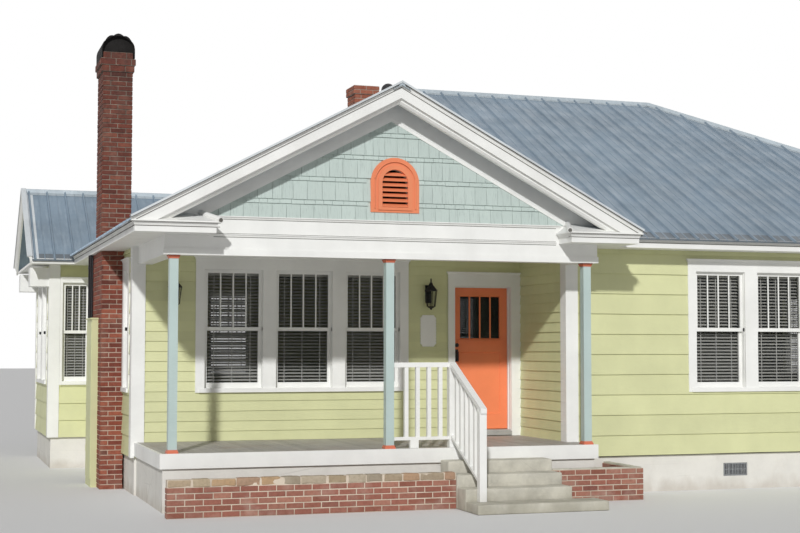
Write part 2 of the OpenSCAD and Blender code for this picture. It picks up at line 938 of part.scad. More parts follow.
module beam_ring() {
    difference() {
        box(beam_l, beam_r, beam_front, porch_d, z_beam, z_wall);
        box(beam_l + beam_d, beam_r - beam_d, beam_front + beam_d, porch_d + 1, z_beam - 1, z_wall + 1);
        box(room_x - past, beam_r + 1, wall_setback, porch_d + 1, z_beam - 1, z_wall + 1);
    }
}

// A moulded strip along the beam between the eave returns
module beam_mould(in, t, z, h) {
    along_x(eave_l + return_len + in, gable_r - return_len - in,
        concat([[beam_front, z]], [for (p = crown_pts(h, t)) [beam_front - p[0], z + p[1]]],
            [[beam_front, z + h]]));
}

module porch_beam() {
    color("white") {
        beam_ring();
        box(beam_l, beam_r, beam_front, band_back, z_wall, z_shingle);
        box(beam_l - low_band_t, beam_r + low_band_t, beam_front - low_band_t, beam_front,
            z_beam, z_beam + low_band_h);
        beam_mould(fascia_t + crown_out + seat, mid_mould_t, z_wall - mid_mould_drop,
            mid_mould_drop + mid_mould_rise);
        beam_mould(top_mould_in, top_mould_t, z_shingle - top_mould_h, top_mould_h);
    }
}

module porch_posts() {
    color("lightblue") for (x = post_xs)
        box(x - post_side / 2, x + post_side / 2, -post_side / 2, post_side / 2, floor_h, z_beam);
}

// A block whose four sides slope out to its top and end in a flat band
module flared_block(half, h) {
    a = half + trim_foot_out;
    b = half + trim_out;
    low = h * trim_slope_low;
    high = h * trim_slope_high;
    intersection() {
        along_x(-b - 1, b + 1, [
            [-a, 0], [a, 0], [a, low], [b, high], [b, h], [-b, h], [-b, high], [-a, low]]);
        along_y(-b - 1, b + 1, [
            [-a, -1], [a, -1], [a, low], [b, high], [b, h + 1], [-b, h + 1], [-b, high], [-a, low]]);
    }
}

module post_collar() {
    half = post_side / 2;
    difference() {
        flared_block(half, post_trim_h);
        box(-half, half, -half, half, -1, post_trim_h + 1);
    }
}

module post_trim() {
    color("coral") for (x = post_xs) {
        translate([x, 0, z_beam - post_trim_h]) post_collar();
        translate([x, 0, floor_h + post_trim_h]) mirror([0, 0, 1]) post_collar();
    }
}

module ceiling_soffit() {
    color("whitesmoke") difference() {
        union() {
            box(eave_l, eave_r, eave_f, eave_b, z_wall, z_roof);
            box(eave_l, gable_r, band_back, eave_f, z_wall, z_roof);
            box(eave_l, beam_l, beam_front, band_back, z_wall, z_roof);
            box(beam_r, gable_r, beam_front, band_back, z_wall, z_roof);
            box(wing_left_eave, eave_l, wing_front_eave, wing_rear_eave, z_wall, z_roof);
        }
        stack_hole(seat);
    }
}

module main_roof() {
    color("steelblue") difference() {
        hip_volume(0, 0, z_roof, eave_f - past);
        roof_hollow();
        stack_hole(seat);
        small_shaft(seat);
    }
}

module porch_gable_roof() {
    color("steelblue") difference() {
        gable_volume(0, 0, z_roof, gable_front);
        ridge_volume(0, 0, z_roof - past);
        gable_volume(roof_t, edge_t, z_roof - past, gable_front - past);
    }
}

module wing_roof() {
    color("steelblue") difference() {
        wing_outline(0, 0, z_roof, wing_left_eave, wing_roof_r);
        wing_outline(roof_t, edge_t, z_roof - past, wing_left_eave - 1, wing_roof_r + 1);
        hip_volume(0, 0, z_roof - past, eave_f - past);
        cap_line([eave_l, eave_b, z_eave], [ridge_l, y_ridge, z_ridge], cap_r + 2 * seat);
    }
}

module cap_line(p, q, r = cap_r) {
    d = q - p;
    run = norm([d[0], d[1]]);
    translate(p) rotate([0, 90 - atan2(d[2], run), atan2(d[1], d[0])])
        rotate([0, 0, 22.5]) cylinder(h = norm(d), r = r, $fn = 8);
}

module ridge_caps() {
    color("lightsteelblue") difference() {
        union() {
            cap_line([ridge_l, y_ridge, z_ridge], [ridge_r, y_ridge, z_ridge]);
            for (a = [[eave_l, eave_b, ridge_l], [eave_r, eave_f, ridge_r], [eave_r, eave_b, ridge_r]])
                cap_line([a[0], a[1], z_eave], [a[2], y_ridge, z_ridge]);
            cap_line([eave_l + half_gable, eave_f + half_gable, z_gable], [ridge_l, y_ridge, z_ridge]);
            cap_line([gable_x, gable_front, z_gable], [gable_x, eave_f + half_gable, z_gable]);
        }
        hip_volume(0, 0, z_roof - past, eave_f - past);
        gable_volume(0, 0, z_roof - past, gable_front - past);
        box(eave_l - past, eave_l, eave_f - past, eave_b + past, z_wall, z_eave + cap_r);
        box(eave_r, eave_r + past, eave_f - past, eave_b + past, z_wall, z_eave + cap_r);
        box(eave_l - past, eave_r + past, eave_b, eave_b + past, z_wall, z_eave + cap_r);
        box(gable_r + past, eave_r + past, eave_f - past, eave_f, z_wall, z_eave + cap_r);
    }
}

// Points of a crown moulding from its foot to its lip, with a hollow between two fillets
function crown_pts(h, out) = let (foot = 0.12, base = 0.25, hollow = 0.6, low = 0.2, rise = 0.52) [
    [foot * out, 0], [foot * out, low * h], [base * out, low * h],
    for (a = [22.5:22.5:90]) [out * (base + hollow * (1 - cos(a))), h * (low + rise * sin(a))],
    [out, (low + rise) * h], [out, h]];

// Section of a board of height h below its upper edge, with the crown at its top
function board_section(h) = concat(
    [[0, 0], [0, -h], [-fascia_t, -h], [-fascia_t, -crown_h]],
    [for (p = crown_pts(crown_h, crown_out)) [-fascia_t - p[0], p[1] - crown_h]]);

// A board with its crown along the eaves, drawn to the right from a corner and turned about it.
// A mitre is 1 at an outer corner, -1 at an inner corner and 0 at a square end.
module eave_run(x, y, turn, run, mitre_0, mitre_1) {
    reach = fascia_t + crown_out + 1;
    translate([x, y, z_wall + fascia_h]) rotate([0, 0, turn]) intersection() {
        along_x(-reach, run + reach, board_section(fascia_h));
        translate([0, 0, -fascia_h - 1]) linear_extrude(fascia_h + 2) polygon([
            [0, 1], [0, 0], [-mitre_0 * reach, -reach], [run + mitre_1 * reach, -reach], [run, 0], [run, 1]]);
    }
}

module fascia_boards() {
    t = fascia_t;
    z2 = z_wing_eave - 10;
    color("white") {
        eave_run(eave_l, wing_front_eave - t, -90, wing_front_eave - t - gable_front, 0, 1);
        eave_run(gable_r, gable_front, 90, eave_f - gable_front, 1, -1);
        eave_run(gable_r, eave_f, 0, eave_r - gable_r, -1, 1);
        eave_run(eave_r, eave_f, 90, eave_b - eave_f, 1, 1);
        eave_run(eave_r, eave_b, 180, eave_r - eave_l, 1, 1);
        eave_run(eave_l, eave_b, -90, eave_b - wing_rear_eave - t, 1, 0);
        box(wing_left_eave, eave_l, wing_front_eave - t, wing_front_eave, z_wall, z2);
        box(wing_left_eave, eave_l, wing_rear_eave, wing_rear_eave + t, z_wall, z2);
    }
}

module chevron(l, r, z0, mid_x, z1, h) {
    polygon([[l, z0], [mid_x, z1], [r, z0], [r, z0 - h], [mid_x, z1 - h], [l, z0 - h]]);
}

// Two raking boards with their crowns that meet at a peak; low is the height of their lower end below it
module rake_pair(half, pitch, h, low) {
    for (s = [0, 1]) mirror([s, 0, 0]) intersection() {
        rotate([0, pitch, 0]) along_x(-past, half / cos(pitch) + past, board_section(h * cos(pitch)));
        box(0, half, -fascia_t - crown_out - 1, 1, -low, 1);
    }
}

module rake_boards() {
    color("white") {
        translate([gable_x, gable_front, z_gable + rake_lift])
            rake_pair(half_gable + fascia_t + crown_out, roof_pitch, rake_h,
                z_gable + rake_lift - z_wall - fascia_h);
        intersection() {
            translate([0, trim_front + rake_trim_t, 0]) rotate([90, 0, 0]) linear_extrude(rake_trim_t)
                chevron(eave_l, gable_r, z_under - seat, gable_x, z_gable - roof_t - seat, rake_trim_h);
            box(eave_l, gable_r, trim_front - past, beam_front + past, z_shingle, z_gable);
        }
        translate([wing_left_eave, wing_mid, z_wing_ridge + rake_lift]) rotate([0, 0, -90])
            rake_pair(wing_d / 2 + wing_eave + fascia_t, wing_pitch, wing_rake_h, z_wing_ridge);
    }
}

// The small roof passes over the crown and stays under the raking board
module one_return() {
    reach = fascia_t + crown_out;
    z1 = z_wall + fascia_h;
    z2 = z1 + return_rise;
    x1 = eave_l + return_len;
    low_x = eave_l + max(z1 - z_under, z1 - z_eave - rake_lift + rake_h) / slope + 10;
    box(eave_l, x1, gable_front, beam_front, z_wall, z_roof);
    box(low_x, x1, gable_front, beam_front, z_roof, z1);
    eave_run(eave_l + seat, gable_front, 0, return_len - seat, 1, 1);
    eave_run(x1, gable_front, 90, beam_front - gable_front, 1, 0);
    difference() {
        intersection() {
            along_x(low_x, x1 + reach, [[gable_front - reach, z1], [beam_front, z1], [beam_front, z2]]);
            along_y(gable_front - reach, beam_front, [
                [low_x, z1], [x1 + reach, z1], [x1 + reach - return_hip, z2],
                [low_x + return_rise / slope, z2]]);
        }
        box(eave_l, x1 + reach + past, trim_front, beam_front + past, z_shingle, z_gable);
    }
}

module eave_returns() {
    color("white") {
        one_return();
        translate([2 * gable_x, 0, 0]) mirror([1, 0, 0]) one_return();
        wing_returns();
    }
}

module wing_returns() {
    for (y = [wing_front, wing_back - wing_return])
        box(wing_left_eave, wing_l, y, y + wing_return, wing_return_top - wing_return_h, wing_return_top);
}

module arch_outline(w, leg) {
    translate([-w / 2, 0]) square([w, leg]);
    translate([0, leg]) circle(d = w, $fn = 64);
}

module vent_arch(w, base, y0, y1) {
    translate([gable_x + 45, y1, z_shingle + vent_lift + base]) rotate([90, 0, 0])
        linear_extrude(y1 - y0) arch_outline(w, vent_leg - base);
}

module front_gable_wall() {
    y0 = beam_front + shingle_set;
    dx = (z_shingle - z_under + seat) / slope;
    color("lightcyan") difference() {
        along_y(y0, band_back, [
            [eave_l + dx, z_shingle], [gable_r - dx, z_shingle], [gable_x, z_gable - roof_t - seat]]);
        vent_arch(vent_open_w, 65, y0 - past, band_back + past);
    }
}

module gable_vent() {
    y0 = beam_front + shingle_set;
    pitch = (vent_leg - 65 + vent_open_w / 2 - 20) / blades;
    color("coral") {
        difference() {
            union() {
                vent_arch(vent_w, 0, y0 - 22, y0);
                vent_arch(vent_open_w + 110, 30, y0 - 36, y0 - 22);
            }
            vent_arch(vent_open_w, 65, y0 - past, y0 + past);
        }
        intersection() {
            vent_arch(vent_open_w, 65, y0 - 30, band_back);
            union() for (i = [0:blades - 1])
                translate([gable_x + 45 - vent_w / 2, y0 - 26, z_shingle + vent_lift + 68 + i * pitch])
                    rotate([35, 0, 0]) cube([vent_w, 70, 12]);
        }
    }
}

// A course of the stack that stands out by a length on all four sides
module stack_course(out, z0, z1) {
    box(stack_l - out, stack_r + out, chim_y - out, chim_y + stack_d + out, z0, z1);
}

module side_chimney() {
    course = head_h / 3;
    color("firebrick") {
        box(-chim_out, 0, chim_y, chim_y + chim_base_d, 0, z_wall);
        stack_course(0, z_wall, z_stack_top);
        for (i = [1:2])
            stack_course(i * corbel, z_stack_top + (i - 1) * course, z_stack_top + i * course);
        stack_course(0, z_stack_top + 2 * course, z_stack_top + head_h);
    }
}

// Lobed arch of the cap's sheet, with its sides down to z_low
function hood_outline(x0, x1, z, inset, z_low) =
    let (mid = (x0 + x1) / 2, half = (x1 - x0) / 2 - inset)
    concat(
    [[x0 + inset, z_low], [x0 + inset, z + cap_foot]],
    [for (k = [1:6 * cap_lobes - 1]) let (t = 30 * k / cap_lobes, rise = cap_h - cap_foot - inset
        - (inset > 0 ? cap_dip : cap_dip * (1 - abs(sin(t * cap_lobes)))))
        [mid - half * cos(t), z + cap_foot + rise * sin(t)]],
    [[x1 - inset, z + cap_foot], [x1 - inset, z_low]]);

module chimney_cap() {
    x0 = stack_l - cap_over;
    x1 = stack_r + cap_over;
    y0 = chim_y - cap_over;
    y1 = chim_y + stack_d + cap_over;
    z0 = z_stack_top + head_h + seat;
    color("#1b1a1a") {
        difference() {
            along_y(y0, y1, hood_outline(x0, x1, z0, 0, z0 - cap_hang));
            along_y(y0 - 1, y1 + 1, hood_outline(x0, x1, z0, cap_wall, z0 - cap_hang - 1));
        }
        for (y = [chim_y + cap_plate_in, chim_y + stack_d - cap_plate_in - cap_wall])
            along_y(y, y + cap_wall, hood_outline(x0, x1, z0, cap_wall / 2, z0));
    }
}

module small_shaft(over) {
    box(small_x - small_chim_w / 2 - over, small_x + small_chim_w / 2 + over,
        small_y - over, small_y + small_d + over, z_roof - 1, z_small - small_head_h);
}

module small_chimney() {
    c = small_corbel;
    half = small_chim_w / 2;
    color("firebrick") {
        translate([small_x, small_y, 0]) {
            box(-half, half, 0, small_d, z_roof, z_small - small_head_h);
            box(-half - c, half + c, -c, small_d + c, z_small - small_head_h, z_small);
        }
    }
}

module roof_vent() {
    pipe_h = 290;
    color("black") difference() {
        translate([roof_vent_x, y_ridge, z_ridge - 10]) {
            translate([0, 0, -pipe_h]) cylinder(h = pipe_h, r = roof_vent_pipe_r, $fn = 48);
            sphere(r = roof_vent_r, $fn = 48);
        }
        hip_volume(0, 0, z_roof - past, eave_f - past);
    }
}

module porch_railing() {
    x0 = post_xs[1] + post_side / 2;
    x1 = rail_x - newel / 2;
    pitch = bar_side + bar_gap;
    count = floor((x1 - x0 - bar_gap) / pitch);
    foot_x = x0 + 0.3 * (x1 - x0);
    low_top = low_rail_z + low_rail_h;
    color("white") {
        box(x0, x1, -rail_t / 2, rail_t / 2, stair_top - rail_t, stair_top);
        box(x0, x1, -rail_t / 2, rail_t / 2, low_rail_z, low_top);
        for (i = [0:count - 1]) {
            bar_r = x1 - first_gap - i * pitch;
            box(bar_r - bar_side, bar_r, -bar_side / 2, bar_side / 2, low_top, stair_top - rail_t);
        }
        box(foot_x, foot_x + rail_foot_w, -rail_t / 2, rail_t / 2, floor_h, low_rail_z);
    }
}

module slope_strip(x0, x1, y0, y1, z, h) {
    along_x(x0, x1, [
        [y0, z + y0 * stair_slope], [y1, z + y1 * stair_slope],
        [y1, z + h + y1 * stair_slope], [y0, z + h + y0 * stair_slope]]);
}

module stair_railing() {
    y_low = lower_newel_y + newel;
    step = (upper_newel_y - y_low) / (stair_bars + 1);
    zt = stair_top - rail_t - upper_newel_y * stair_slope;
    zb = stair_foot - upper_newel_y * stair_slope;
    color("white") {
        box(rail_x - newel / 2, rail_x + newel / 2, upper_newel_y, upper_newel_y + newel, floor_h, stair_top);
        difference() {
            box(rail_x - newel / 2, rail_x + newel / 2, lower_newel_y, y_low, slab_h, stair_top);
            slope_strip(rail_x - newel, rail_x + newel, lower_newel_y - past, y_low + past, zt, stair_top);
        }
        slope_strip(rail_x - stair_rail_w / 2, rail_x + stair_rail_w / 2, lower_newel_y - stair_rail_pass,
            upper_newel_y, zt, rail_t);
        slope_strip(rail_x - rail_t / 2, rail_x + rail_t / 2, y_low, upper_newel_y, zb, low_rail_h);
        intersection() {
            for (i = [1:stair_bars])
                box(rail_x - bar_side / 2, rail_x + bar_side / 2, y_low + i * step - bar_side / 2,
                    y_low + i * step + bar_side / 2, 0, stair_top);
            slope_strip(rail_x - newel, rail_x + newel, y_low, upper_newel_y, zb + low_rail_h - 1,
                zt - zb - low_rail_h + 2);
        }
    }
}

module lantern() {
    w = lantern_w;
    box(-45, 45, -15, 0, lantern_h * 0.25, lantern_h * 0.75);
    box(-12, 12, -70, -14, lantern_h * 0.62, lantern_h * 0.66);
    translate([0, -60 - w / 2, 0]) {
        cylinder(h = 30, r = w / 3, $fn = 6);
        translate([0, 0, 30]) cylinder(h = lantern_h * 0.55, r = w / 2, $fn = 6);
        translate([0, 0, 30 + lantern_h * 0.55]) cylinder(h = 30, r = w / 2 + 12, $fn = 6);
        translate([0, 0, 60 + lantern_h * 0.55]) cylinder(h = lantern_h * 0.2, r = w / 4, $fn = 24);
        translate([0, 0, 60 + lantern_h * 0.75]) cylinder(h = lantern_h * 0.25 - 60, r = 14, $fn = 24);
    }
}

module wall_lanterns() {
    color("black") for (x = lantern_xs) translate([x, porch_d, lantern_z]) lantern();
}

module wall_plaque() {
    r = bead_r;
    color("white") translate([gap_mid, porch_d, plaque_z]) rotate([90, 0, 0]) linear_extrude(plaque_t) {
        square([plaque_w - 2 * r, plaque_h - 2 * r], center = true);
        for (i = [-4:4]) for (s = [-1, 1])
            translate([s * (plaque_w / 2 - r), i * (plaque_h - 3 * r) / 9]) circle(r = r, $fn = 24);
        for (i = [-2:2]) for (s = [-1, 1])
            translate([i * (plaque_w - 3 * r) / 5, s * (plaque_h / 2 - r)]) circle(r = r, $fn = 24);
    }
}

module side_box() {
    color("yellowgreen") box(-chim_out - box_t, -chim_out, box_front, box_back, 0, box_top);
}

module downpipe() {
    y = chim_y + chim_base_d;
    color("black") box(pipe_l, pipe_l + pipe_side, y, y + pipe_side, 0, z_wall);
}

module whole() {
    translate([-(x_min + x_max) / 2, -(y_min + y_max) / 2, 0]) children();
}

whole() foundation();
whole() foundation_vents();
whole() floor();
whole() porch_base();
whole() porch_floor();
whole() porch_rim();
whole() step_upper();
whole() step_middle();
whole() step_lower();
whole() step_slab();
whole() planter_wall();
whole() flower_bed_wall();
whole() porch_back_wall();
whole() wall_over_door();
whole() wall_beside_door();
whole() porch_side_wall();
whole() wall_under_door();
whole() front_wall();
whole() right_wall();
whole() rear_wall();
whole() left_wall();
whole() wing_walls();
whole() front_door();
whole() door_glass();
whole() door_lock();
whole() door_frame();
whole() door_threshold();
whole() front_windows();
whole() other_windows();
whole() window_glass();
whole() corner_boards();
whole() porch_beam();
whole() porch_posts();
whole() post_trim();
whole() ceiling_soffit();
whole() main_roof();
whole() porch_gable_roof();
whole() wing_roof();
whole() ridge_caps();
whole() fascia_boards();
whole() rake_boards();
whole() eave_returns();
whole() front_gable_wall();
whole() gable_vent();
whole() side_chimney();
whole() chimney_cap();
whole() small_chimney();
whole() roof_vent();
whole() porch_railing();
whole() stair_railing();
whole() wall_lanterns();
whole() wall_plaque();
whole() side_box();
whole() downpipe();
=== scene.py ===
"""Looks of a one-storey bungalow with a hipped metal roof and a gabled porch at its front left corner.

Every place comes from the frame's solids, in metres: X runs to the right along the front, Y from the front to
the back and Z up from the ground.
"""

import logging
import math
import random
from dataclasses import dataclass
from enum import Enum
from typing import Callable, Iterable, Optional, Sequence

import bmesh
import bpy
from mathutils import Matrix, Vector, noise


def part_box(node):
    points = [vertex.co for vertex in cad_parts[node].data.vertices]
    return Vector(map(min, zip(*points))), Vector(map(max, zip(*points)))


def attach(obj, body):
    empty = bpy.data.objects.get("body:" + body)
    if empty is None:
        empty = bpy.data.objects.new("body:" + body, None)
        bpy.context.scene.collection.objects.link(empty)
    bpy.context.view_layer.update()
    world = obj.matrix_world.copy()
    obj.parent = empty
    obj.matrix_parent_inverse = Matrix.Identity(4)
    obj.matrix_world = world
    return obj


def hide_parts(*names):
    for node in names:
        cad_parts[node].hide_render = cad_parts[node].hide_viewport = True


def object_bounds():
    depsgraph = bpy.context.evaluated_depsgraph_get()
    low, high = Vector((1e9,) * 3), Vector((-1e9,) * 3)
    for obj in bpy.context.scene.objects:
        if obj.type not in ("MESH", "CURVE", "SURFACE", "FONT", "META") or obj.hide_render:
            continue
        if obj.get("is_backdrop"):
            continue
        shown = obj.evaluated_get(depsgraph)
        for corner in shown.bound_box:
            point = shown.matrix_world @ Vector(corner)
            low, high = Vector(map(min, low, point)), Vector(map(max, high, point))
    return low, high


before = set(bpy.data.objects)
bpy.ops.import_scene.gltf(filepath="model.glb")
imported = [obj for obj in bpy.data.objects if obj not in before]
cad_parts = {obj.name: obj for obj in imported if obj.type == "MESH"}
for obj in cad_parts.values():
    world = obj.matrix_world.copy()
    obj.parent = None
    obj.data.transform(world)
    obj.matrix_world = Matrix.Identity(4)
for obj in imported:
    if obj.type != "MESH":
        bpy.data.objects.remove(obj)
CAD_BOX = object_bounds()

Pair = tuple[float, float]
Rect = tuple[float, float, float, float]
Colour = tuple[float, float, float]
Profile = Sequence[Pair]
Socket = bpy.types.NodeSocket

UP = Vector((0.0, 0.0, 1.0))
AHEAD = Vector((0.0, -1.0, 0.0))
WELD_STEPS = 20000
"""Steps in a metre within which two points of a solid are one."""
NEAR = 0.002
"""Distance within which two points are at the same place."""
SHORT = 0.01
"""Length below which a leftover gets no piece, and height of a node's foot."""
SLOPING = (0.3, 0.995)
"""Upward share of the normal of a roof's sloping faces."""
LEAST_FACE = 1e-4
"""Area of the smallest face of a roof that counts."""
NORMAL_STEPS = 50
"""Steps in which the normals of one slope are the same."""

log = logging.getLogger("bungalow")


class Side(Enum):
    """The four ways a wall of the house can face, as the outward direction in plan."""

    FRONT = (0.0, -1.0)
    RIGHT = (1.0, 0.0)
    REAR = (0.0, 1.0)
    LEFT = (-1.0, 0.0)


@dataclass(frozen=True)
class Wall:
    """An upright plane seen from outside: u runs to the right along it, z up and out away from it."""

    side: Side
    face: float

    @property
    def out(self) -> Vector:
        """Outward direction of the wall."""
        return Vector((*self.side.value, 0.0))

    @property
    def along(self) -> Vector:
        """Direction of u."""
        x, y = self.side.value
        return Vector((-y, x, 0.0))

    def at(self, u: float, z: float, out: float) -> Vector:
        """Gives the point at a place along the wall, a height and a distance in front of the wall's face."""
        return self.along * u + self.out * (self.face + out) + Vector((0.0, 0.0, z))

    def ring(self, u: Pair, z: Pair, out: float) -> list[Vector]:
        """Gives the corners of an upright rectangle in front of the wall, from its ranges of u and z."""
        return [self.at(u[0], z[0], out), self.at(u[1], z[0], out), self.at(u[1], z[1], out),
                self.at(u[0], z[1], out)]

    def spans(self, solid: "Solid") -> tuple[Pair, Pair, Pair]:
        """Projects a solid's box on the wall.

        Args:
            solid: The solid's box.

        Returns:
            Its ranges of u, of z and of distance in front of the face.
        """
        us = sorted((self.along.dot(solid.low), self.along.dot(solid.high)))
        outs = sorted((self.out.dot(solid.low) - self.face, self.out.dot(solid.high) - self.face))
        return (us[0], us[1]), (solid.low.z, solid.high.z), (outs[0], outs[1])


@dataclass(frozen=True)
class Solid:
    """Lowest and highest corners of one solid of the frame, and its points."""

    low: Vector
    high: Vector
    points: tuple[Vector, ...] = ()

    @property
    def size(self) -> Vector:
        """Length of each side of the box."""
        return self.high - self.low

    @property
    def mid(self) -> Vector:
        """Middle of the box."""
        return (self.high + self.low) / 2


def node_box(name: str) -> Solid:
    """Gives the box of a whole node at rest."""
    low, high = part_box(name)
    return Solid(low, high)


def around(points: Iterable[Vector]) -> Solid:
    """Gives the box around some points.

    Args:
        points: The points, which the box keeps.

    Returns:
        The box.
    """
    kept = tuple(points)
    low, high = (Vector([pick(p[i] for p in kept) for i in range(3)]) for pick in (min, max))
    return Solid(low, high, kept)


def solids(name: str) -> list[Solid]:
    """Splits a node into its separate solids.

    Args:
        name: The node's name.

    Returns:
        One box for each solid, in the order of the mesh.
    """
    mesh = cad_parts[name].data
    weld: dict[tuple[int, int, int], int] = {}
    ids = [weld.setdefault(tuple(round(c * WELD_STEPS) for c in v.co), len(weld)) for v in mesh.vertices]
    parent = list(range(len(weld)))

    def root(i: int) -> int:
        """Follows a point to the first point of its solid."""
        while parent[i] != i:
            parent[i] = parent[parent[i]]
            i = parent[i]
        return i

    for face in mesh.polygons:
        first = root(ids[face.vertices[0]])
        for v in face.vertices[1:]:
            parent[root(ids[v])] = first
    groups: dict[int, list[Vector]] = {}
    for v in mesh.vertices:
        groups.setdefault(root(ids[v.index]), []).append(v.co)
    return [around(points) for points in groups.values()]


def foot_of(name: str) -> Solid:
    """Gives the box of a node's lowest points."""
    top = node_box(name).low.z + SHORT
    return around(p for solid in solids(name) for p in solid.points if p.z < top)


class Graph:
    """A material and the few node groups that every finish is made of."""

    def __init__(self, name: str) -> None:
        """Starts an empty material.

        Args:
            name: The material's name.
        """
        self.material = bpy.data.materials.new(name)
        self.material.use_nodes = True
        self.tree = self.material.node_tree
        self.tree.nodes.clear()
        self.shader = self.node("ShaderNodeBsdfPrincipled")
        out = self.node("ShaderNodeOutputMaterial")
        self.link(self.shader.outputs[0], out.inputs["Surface"])
        self.place = self.node("ShaderNodeTexCoord").outputs["Object"]

    def node(self, kind: str, **values: object) -> bpy.types.Node:
        """Adds a node.

        Args:
            kind: The node's type.
            **values: Settings of the node.

        Returns:
            The new node.
        """
        made = self.tree.nodes.new(kind)
        for key, value in values.items():
            setattr(made, key, value)
        return made

    def link(self, a: Socket, b: Socket) -> None:
        """Joins an output to an input."""
        self.tree.links.new(a, b)

    def feed(self, socket: Socket, value: object) -> None:
        """Links a socket to another one or sets its value.

        Args:
            socket: The socket, an input.
            value: An output, a number or a colour of three numbers.
        """
        if isinstance(value, Socket):
            self.link(value, socket)
        else:
            socket.default_value = (*value, 1.0) if isinstance(value, tuple) else value

    def speckle(self, scale: float, detail: float = 4.0, stretch: Sequence[float] = (1, 1, 1),
                rough: float = 0.55) -> Socket:
        """Adds a noise.

        Args:
            scale: Spots in a metre.
            detail: Finer layers of the noise.
            stretch: Scale of each axis.
            rough: Strength of the finer layers.

        Returns:
            A value around a half.
        """
        made = self.node("ShaderNodeTexNoise")
        for key, number in (("Scale", scale), ("Detail", detail), ("Roughness", rough)):
            made.inputs[key].default_value = number
        mapping = self.node("ShaderNodeMapping")
        mapping.inputs["Scale"].default_value = stretch
        self.link(self.place, mapping.inputs["Vector"])
        self.link(mapping.outputs[0], made.inputs["Vector"])
        return made.outputs["Fac"]

    def ramp(self, value: Socket, stops: Sequence[tuple[float, Sequence[float]]]
             ) -> Socket:
        """Turns a value into a colour.

        Args:
            value: The value.
            stops: Place and colour of each stop.

        Returns:
            The colour.
        """
        made = self.node("ShaderNodeValToRGB")
        ramp = made.color_ramp
        while len(ramp.elements) < len(stops):
            ramp.elements.new(0.5)
        for element, (at, colour) in zip(ramp.elements, stops):
            element.position = at
            element.color = (*colour, 1.0)
        self.link(value, made.inputs["Fac"])
        return made.outputs["Color"]

    def span(self, value: Socket, low: float, high: float, a: float = 0.0, b: float = 1.0
             ) -> Socket:
        """Maps a range of a value to another range, and clamps it.

        Args:
            value: The value.
            low: Start of its range.
            high: End of its range.
            a: What the start becomes.
            b: What the end becomes.

        Returns:
            The mapped value.
        """
        made = self.node("ShaderNodeMapRange")
        self.link(value, made.inputs["Value"])
        for key, number in (("From Min", low), ("From Max", high), ("To Min", a), ("To Max", b)):
            made.inputs[key].default_value = number
        return made.outputs["Result"]

    def maths(self, kind: str, a: object, b: object = 0.0) -> Socket:
        """Combines two values.

        Args:
            kind: Way of combining them.
            a: First value.
            b: Second value.

        Returns:
            The combined value.
        """
        made = self.node("ShaderNodeMath", operation=kind)
        self.feed(made.inputs[0], a)
        self.feed(made.inputs[1], b)
        return made.outputs[0]

    def mix(self, share: object, a: object, b: object, kind: str = "MIX") -> Socket:
        """Mixes two colours.

        Args:
            share: Share of the second colour.
            a: First colour.
            b: Second colour.
            kind: Way of blending.

        Returns:
            The mixed colour.
        """
        made = self.node("ShaderNodeMix", data_type="RGBA", blend_type=kind)
        for at, value in ((0, share), (6, a), (7, b)):
            self.feed(made.inputs[at], value)
        return made.outputs[2]

    def height(self) -> Socket:
        """Gives the height above the ground.

        Returns:
            The height in metres.
        """
        split = self.node("ShaderNodeSeparateXYZ")
        self.link(self.place, split.inputs[0])
        return split.outputs["Z"]

    def tone(self) -> Socket:
        """Gives the number that a piece's faces carry, the same all over one board or brick."""
        return self.node("ShaderNodeAttribute", attribute_name="tone").outputs["Fac"]

    def toned(self, base: object, other: object, share: float) -> Socket:
        """Mixes a share of another colour into each board or brick, from none to all of the share."""
        return self.mix(self.span(self.tone(), 0.0, 1.0, 0.0, share), base, other)

    def stained(self, base: object, stain: Colour, share: float, scale: float, detail: float = 6.0,
                limits: Pair = (0.5, 0.8), stretch: Sequence[float] = (1, 1, 1)) -> Socket:
        """Mixes up to a share of a stain into a colour, in the spots where a noise passes its limits."""
        return self.mix(self.span(self.speckle(scale, detail, stretch), *limits, 0.0, share), base, stain)

    def uneven(self, rough: float, scale: float, less: float = 0.1, more: float = 0.1, detail: float = 4.0
               ) -> Socket:
        """Gives a roughness that varies around a value in spots."""
        return self.span(self.speckle(scale, detail), 0.3, 0.7, rough - less, min(1.0, rough + more))

    def relief(self, *layers: tuple[Socket, float]) -> None:
        """Adds bumps to the surface.

        Args:
            *layers: Height and depth in metres of each layer.
        """
        last: Optional[Socket] = None
        for value, depth in layers:
            bump = self.node("ShaderNodeBump")
            bump.inputs["Strength"].default_value = 1.0
            bump.inputs["Distance"].default_value = depth
            self.link(value, bump.inputs["Height"])
            if last is not None:
                self.link(last, bump.inputs["Normal"])
            last = bump.outputs["Normal"]
        if last is not None:
            self.link(last, self.shader.inputs["Normal"])

    def surface(self, colour: object, rough: object, metallic: float = 0.0, specular: float = 0.5) -> None:
        """Sets the shader's main values.

        Args:
            colour: Base colour.
            rough: Roughness.
            metallic: Share of metal.
            specular: Strength of the gloss.
        """
        for key, value in (("Base Color", colour), ("Roughness", rough), ("Metallic", metallic),
                           ("Specular IOR Level", specular)):
            self.feed(self.shader.inputs[key], value)


